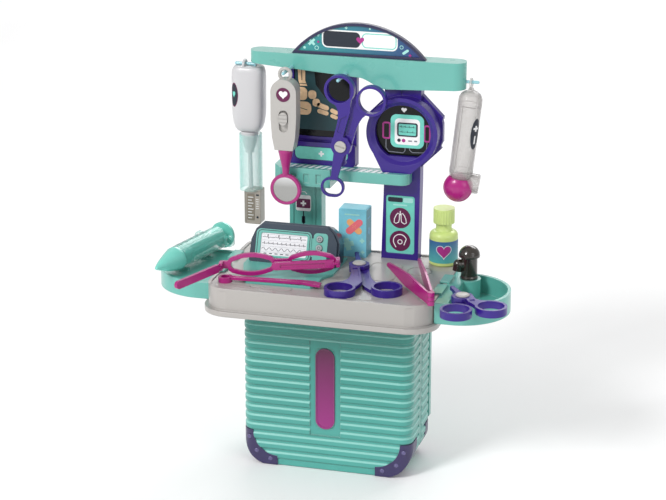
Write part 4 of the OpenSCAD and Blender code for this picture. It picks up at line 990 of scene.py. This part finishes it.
# Bottle label, bent round the bottle
BOTTLE_LOW, BOTTLE_HIGH, BOTTLE_MIDDLE = box_mm("pill_bottle")
BOTTLE_R = (BOTTLE_HIGH.x - BOTTLE_LOW.x) / 2
BOTTLE = round_post(BOTTLE_MIDDLE.x, BOTTLE_MIDDLE.y, BOTTLE_R, 14.0)
HEART_Z = 230.0
wrap("bottle_label", BOTTLE, "bottle_label", "pill_bottle", BOTTLE_R * 2.4, 216.4, 240.6)
sticker("bottle_heart", BOTTLE, "ink_magenta", "pill_bottle",
        [heart(0.0, HEART_Z, 15.0)], end=0.35)
sticker("bottle_heart_edge", BOTTLE, "ink_white", "pill_bottle",
        rings=[(heart(0.0, HEART_Z, 16.6), 0.5)], end=0.3)

# Plaque: stadium plate with a raised rim, on a seat that fills the shell's pocket
_, POCKET_HIGH, POCKET_MIDDLE = box_mm("plaque")
POCKET = facing_front(POCKET_MIDDLE.x, POCKET_HIGH.y, POCKET_MIDDLE.z)
PLAQUE_W, PLAQUE_H, PLAQUE_R = 21.0, 92.0, 10.4
sticker("plaque_seat", POCKET, "case", "plaque",
        [panel(PLAQUE_W - 0.2, PLAQUE_H - 0.2, 5.0)], start=0.02, end=0.75)
plaque_field = sticker("plaque_field", POCKET, "plaque", "plaque",
                       [panel(PLAQUE_W, PLAQUE_H, PLAQUE_R, 14)], start=0.1, end=1.5)
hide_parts("plaque")
sticker("plaque_rim", POCKET, "plaque", "plaque",
        rings=[(panel(PLAQUE_W - 1.4, PLAQUE_H - 1.4, PLAQUE_R - 0.6, 14), 1.4)], start=1.4, end=2.15)

# Domed rivets in the corner guards
RIVET = [(2.5, -1.0), (2.5, 0.0), (2.2, 0.4), (1.4, 0.75), (0.5, 0.9)]
RIVET_SPOTS = [(side * x, z) for side in (-1, 1) for x, z in ((86.1, 30.0), (78.1, 14.5), (62.6, 6.5))]
for node, face_y, way in (("front_guards", box_mm("front_guards")[0].y, -1),
                          ("rear_guards", box_mm("rear_guards")[1].y, 1)):
    bm = bmesh.new()
    for x, z in RIVET_SPOTS:
        lathe(bm, RIVET, frame_of((x, face_y, z), (x, face_y + way, z)), 24)
    finish_piece(f"{node}_rivets", bm, "rivet", node, True)

# Drip bottle: soft-cornered oval levels, drawn in to its neck, with an eyelet on top. The
# larger SQUARE is, the squarer are its corners; DEPTH is its depth as a part of its width.
DRIP = Vector((-117.2, 61.0, 0.0))
DRIP_WIDE = 18.2
SQUARE, DEPTH = 3.4, 0.7
DRIP_LEVELS = [(9.2, 343.0), (12.4, 344.2), (14.8, 347.4), (16.6, 353.0), (17.8, 362.0),
               (DRIP_WIDE, 372.0), (DRIP_WIDE, 404.0), (17.9, 409.5), (16.8, 413.6), (15.2, 415.4),
               (14.0, 415.9)]
EYELET = (-121.5, 61.0, 415.4)


def drip_edge(angle, wide):
    c, s = math.cos(angle), math.sin(angle)
    return (math.copysign(abs(c) ** (2 / SQUARE), c) * wide,
            math.copysign(abs(s) ** (2 / SQUARE), s) * wide * DEPTH)


def drip_ring(wide, z, n=72):
    return [(DRIP + Vector((*drip_edge(2 * math.pi * i / n, wide), z))) * MM for i in range(n)]


def on_drip(u, v, d):
    """u degrees round the drip bottle's side, v its height."""
    x, y = drip_edge(math.radians(u), DRIP_WIDE)
    out = Vector((math.copysign(abs(x / DRIP_WIDE) ** (SQUARE - 1), x),
                  math.copysign(abs(y / (DRIP_WIDE * DEPTH)) ** (SQUARE - 1) / DEPTH, y), 0.0))
    out.normalize()
    return (DRIP + Vector((x, y, v)) + out * d) * MM


bm = bmesh.new()
join_rows(bm, [[bm.verts.new(place) for place in drip_ring(*row)] for row in DRIP_LEVELS])
lathe(bm, [(3.6, 0.0), (3.2, 1.6), (2.2, 2.2)], upright(*EYELET), 32)
torus(bm, EYELET, (1, 0, 0), 6.2, 1.5)
drip = finish_piece("drip_bottle", bm, "pearl", "iv_bottle", True)
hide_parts("iv_bottle")

# Oval label on the drip bottle's front left side
LABEL_ANGLE, LABEL_Z = 234, 385
DEGREES_PER_MM = 2.2
round_label("drip_label", on_drip, "ink_plum", "iv_bottle",
            (LABEL_ANGLE, LABEL_Z), (20, 13.4), 0.2)
round_label("drip_label_field", on_drip, "ink_dark", "iv_bottle",
            (LABEL_ANGLE, LABEL_Z), (17.4, 12.2), 0.3)
sticker("drip_label_heart", on_drip, "ink_mint", "iv_bottle",
        [[(LABEL_ANGLE + u * DEGREES_PER_MM, v) for u, v in heart(0.0, LABEL_Z + 1, 7.6)]], end=0.45)

# Clear tube: outer wall from its domed top down, then the inner wall up again
TUBE_TOP = Vector((129.4, 61.0, 404.0))
TUBE_END = Vector((118.4, 61.0, 306.0))
TUBE_R = 12.9
TUBE_WALL = [(3.0, -0.6), (6.5, 0.4), (10.4, 3.0), (12.6, 7.6), (TUBE_R, 12.0), (TUBE_R, 90.0),
             (11.6, 96.0), (10.4, 96.0), (11.7, 89.6), (11.7, 12.2), (11.4, 8.2), (9.6, 4.2),
             (6.2, 1.8), (2.8, 0.9)]
BRANCH_WALL = [(10.0, 0.0), (10.8, 2.0), (10.8, 19.0), (10.2, 20.4), (9.0, 20.4), (9.4, 2.4)]
BRANCH = frame_of((118.5, 62.0, 304.0), (138.0, 66.0, 300.5))
TUBE_DOWN = (TUBE_END - TUBE_TOP).normalized()
TO_BACK = Vector((0.0, 1.0, 0.0))
TUBE_SIDE = TO_BACK.cross(TUBE_DOWN).normalized()
LABEL_U = 13.0


def on_tube(u, v, d):
    """u round the tube from its front, v down it from the top."""
    a = u / TUBE_R - math.pi / 2
    r = TUBE_R + d
    return (TUBE_TOP + TUBE_DOWN * v - TUBE_SIDE * (r * math.cos(a)) + TO_BACK * (r * math.sin(a))) * MM


bm = bmesh.new()
lathe(bm, TUBE_WALL, frame_of(TUBE_TOP, TUBE_END))
lathe(bm, BRANCH_WALL, BRANCH, 48)
lathe(bm, [(4.6, 0.0), (3.4, 2.4), (2.6, 4.4)], upright(128.8, 61.0, 402.6), 32)
torus(bm, (128.8, 61.0, 411.8), (1, 0, 0), 5.2, 1.3)
tube = finish_piece("tube_clear", bm, "clear", "tube_body", True)
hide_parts("tube_body")
HALF_RING = range(-40, 41, 2)
sticker("tube_seams", on_tube, "seam", "tube_body",
        lines=[([(-5.0, v) for v in range(13, 91, 6)], 0.5),
               ([(u, 15.0) for u in HALF_RING], 0.6), ([(u, 88.0) for u in HALF_RING], 0.6)],
        start=-0.1, end=0.15)
round_label("tube_label", on_tube, "ink_dark", "tube_body", (LABEL_U, 44.0), (5.6, 17.0), 0.2)
sticker("tube_label_cross", on_tube, "ink_white", "tube_body",
        [cross(LABEL_U, 38.0, 6.4, 2.0)], [([(LABEL_U, 46.0), (LABEL_U, 55.0)], 1.6)],
        start=0.1, end=0.4)

# Ball at the tube's end, a little flattened from front to back, with a fine seam
BALL = Vector((117.0, 60.2, 298.0))
BALL_R, BALL_DEPTH, FULLNESS = 15.8, 13.4, 0.86
BALL_ROWS, BALL_SIDES = 32, 56


def ball_ring(i):
    t = math.pi * i / BALL_ROWS
    r = math.sin(t) ** FULLNESS * BALL_R
    return [(BALL + Vector((x, -math.cos(t) * BALL_DEPTH, z))) * MM for x, z in disc(0, 0, r, BALL_SIDES)]


bm = bmesh.new()
join_rows(bm, [[bm.verts.new(place) for place in ball_ring(i)] for i in range(1, BALL_ROWS)])
bulb = finish_piece("tube_ball", bm, "magenta", "tube_bulb", True)
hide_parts("tube_bulb")
bm = bmesh.new()
torus(bm, BALL - TO_BACK * 4.6, TO_BACK, 15.0, 0.55, BALL_SIDES, 8)
finish_piece("tube_ball_ring", bm, "magenta", "tube_bulb", True)
